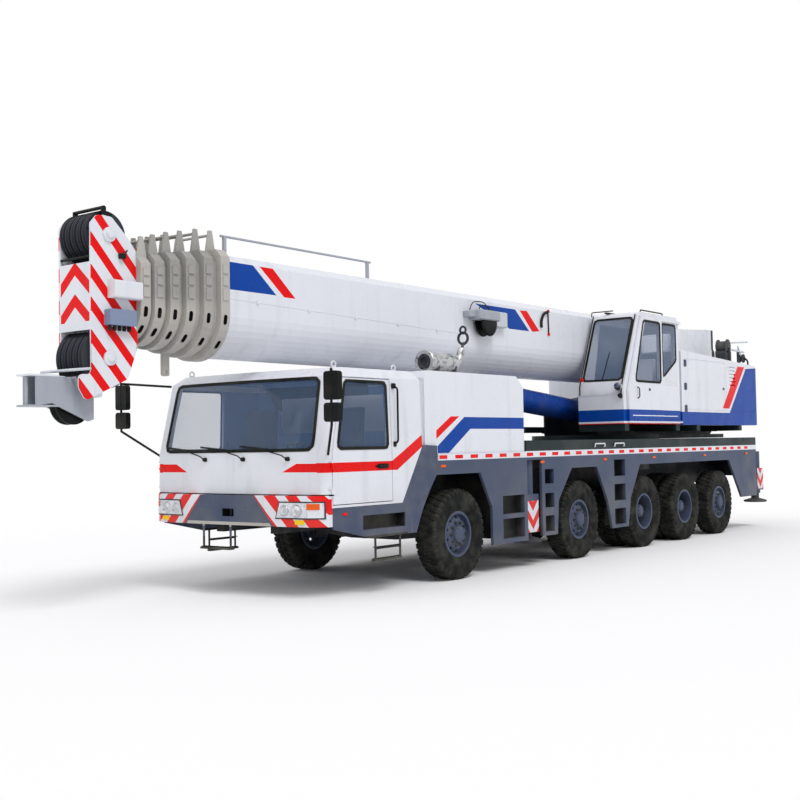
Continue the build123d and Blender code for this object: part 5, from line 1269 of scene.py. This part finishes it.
class CRANE_OT_studio(bpy.types.Operator):
    """A pale floor that keeps the shadow, a white background, a soft sun and the photo's camera."""

    bl_idname = "crane.studio"
    bl_label = "Studio"

    def execute(self, context):
        scene = context.scene
        floor = bpy.data.meshes.new("floor")
        floor.from_pydata([(-60, -60, 0), (60, -60, 0), (60, 60, 0), (-60, 60, 0)], [], [(0, 1, 2, 3)])
        ground = bpy.data.objects.new("floor", floor)
        scene.collection.objects.link(ground)
        pale = Finish("studio_floor", (0.97, 0.97, 0.975), Roughness=1.0, Specular_Ior_Level=0.0)
        pale.patches((0.9, 0.9, 0.9), 0.2, 3.0, 0.4, 0.7, 0.02)
        flat = pale.node("Emission", pale.colour if isinstance(pale.colour, bpy.types.NodeSocket) else None)
        flat.inputs[0].default_value = (1, 1, 1, 1)
        for link in list(flat.inputs[0].links):
            pale.tree.links.remove(link)
        pale.done()
        reach = pale.node("VectorMath", pale.place, (-sizes().front_axle, 0, 0), operation="DISTANCE").outputs["Value"]
        away = pale.fit(reach, 9.0, 16.0)
        blend = pale.node("MixShader", away, pale.shader.outputs[0], flat.outputs[0])
        pale.tree.links.new(blend.outputs[0], pale.tree.nodes["Material Output"].inputs[0])
        floor.materials.append(pale.material)

        world = bpy.data.worlds.new("studio")
        world.use_nodes = True
        scene.world = world
        nodes, links = world.node_tree.nodes, world.node_tree.links
        path = nodes.new("ShaderNodeLightPath")
        seen = path.outputs["Is Camera Ray"]
        for name in ("Is Glossy Ray", "Is Transmission Ray"):
            added = nodes.new("ShaderNodeMath")
            links.new(seen, added.inputs[0])
            links.new(path.outputs[name], added.inputs[1])
            seen = added.outputs[0]
        strength = nodes.new("ShaderNodeMapRange")
        strength.inputs["To Min"].default_value = 0.62
        links.new(seen, strength.inputs["Value"])
        links.new(strength.outputs[0], nodes["Background"].inputs["Strength"])
        nodes["Background"].inputs["Color"].default_value = (1, 1, 1, 1)

        for name, energy, angle, turn in (("sun", 1.5, 25.0, (38, 12, 140)), ("fill", 0.5, 60.0, (60, 0, 60))):
            light = bpy.data.lights.new(name, "SUN")
            light.energy, light.angle = energy, radians(angle)
            lamp = bpy.data.objects.new(name, light)
            lamp.rotation_euler = [radians(a) for a in turn]
            scene.collection.objects.link(lamp)

        yaw, pitch, roll = 3.803471, 0.039027, -0.017345
        ahead = np.array([cos(pitch) * cos(yaw), cos(pitch) * sin(yaw), sin(pitch)])
        right = np.cross(ahead, (0, 0, 1))
        right /= np.linalg.norm(right)
        up = np.cross(right, ahead)
        right, up = cos(roll) * right + sin(roll) * up, -sin(roll) * right + cos(roll) * up
        lens = bpy.data.cameras.new("camera")
        lens.lens, lens.sensor_width, lens.clip_end = 52.2306, 36.0, 200.0
        camera = bpy.data.objects.new("camera", lens)
        turned_way = np.eye(4)
        turned_way[:3, :3] = np.stack([right, up, -ahead], 1)
        turned_way[:3, 3] = (sizes().front_axle + 11.828473, 9.651862, 1.673556)
        camera.matrix_world = Matrix(turned_way.tolist())
        scene.collection.objects.link(camera)
        scene.camera = camera
        scene.view_settings.view_transform = "Standard"
        return {"FINISHED"}


OPERATORS = (CRANE_OT_finishes, CRANE_OT_tyres, CRANE_OT_hub_fittings, CRANE_OT_cab_glazing, CRANE_OT_cab_fittings,
             CRANE_OT_lamps, CRANE_OT_steps, CRANE_OT_silencer_trim, CRANE_OT_operator_cab_trim,
             CRANE_OT_housing_trim, CRANE_OT_boom_trim, CRANE_OT_head_trim, CRANE_OT_winch_rope, CRANE_OT_studio)


class CRANE_PT_panel(bpy.types.Panel):
    """Lists the crane's pieces, one button each."""

    bl_idname = "CRANE_PT_panel"
    bl_label = "Mobile crane"
    bl_space_type = "VIEW_3D"
    bl_region_type = "UI"
    bl_category = "Crane"

    def draw(self, context):
        for operator in OPERATORS:
            self.layout.operator(operator.bl_idname, text=operator.bl_label)


CLASSES = (CraneSizes, CraneColours, *OPERATORS, CRANE_PT_panel)


def register():
    for made in CLASSES:
        bpy.utils.register_class(made)
    bpy.types.Scene.crane_sizes = bpy.props.PointerProperty(type=CraneSizes)
    bpy.types.Scene.crane_colours = bpy.props.PointerProperty(type=CraneColours)


def unregister():
    del bpy.types.Scene.crane_colours
    del bpy.types.Scene.crane_sizes
    for made in reversed(CLASSES):
        bpy.utils.unregister_class(made)


def main():
    """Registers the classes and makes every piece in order."""
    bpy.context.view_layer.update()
    register()
    for operator in OPERATORS:
        group, name = operator.bl_idname.split(".")
        getattr(getattr(bpy.ops, group), name)()


if __name__ == "__main__":
    main()
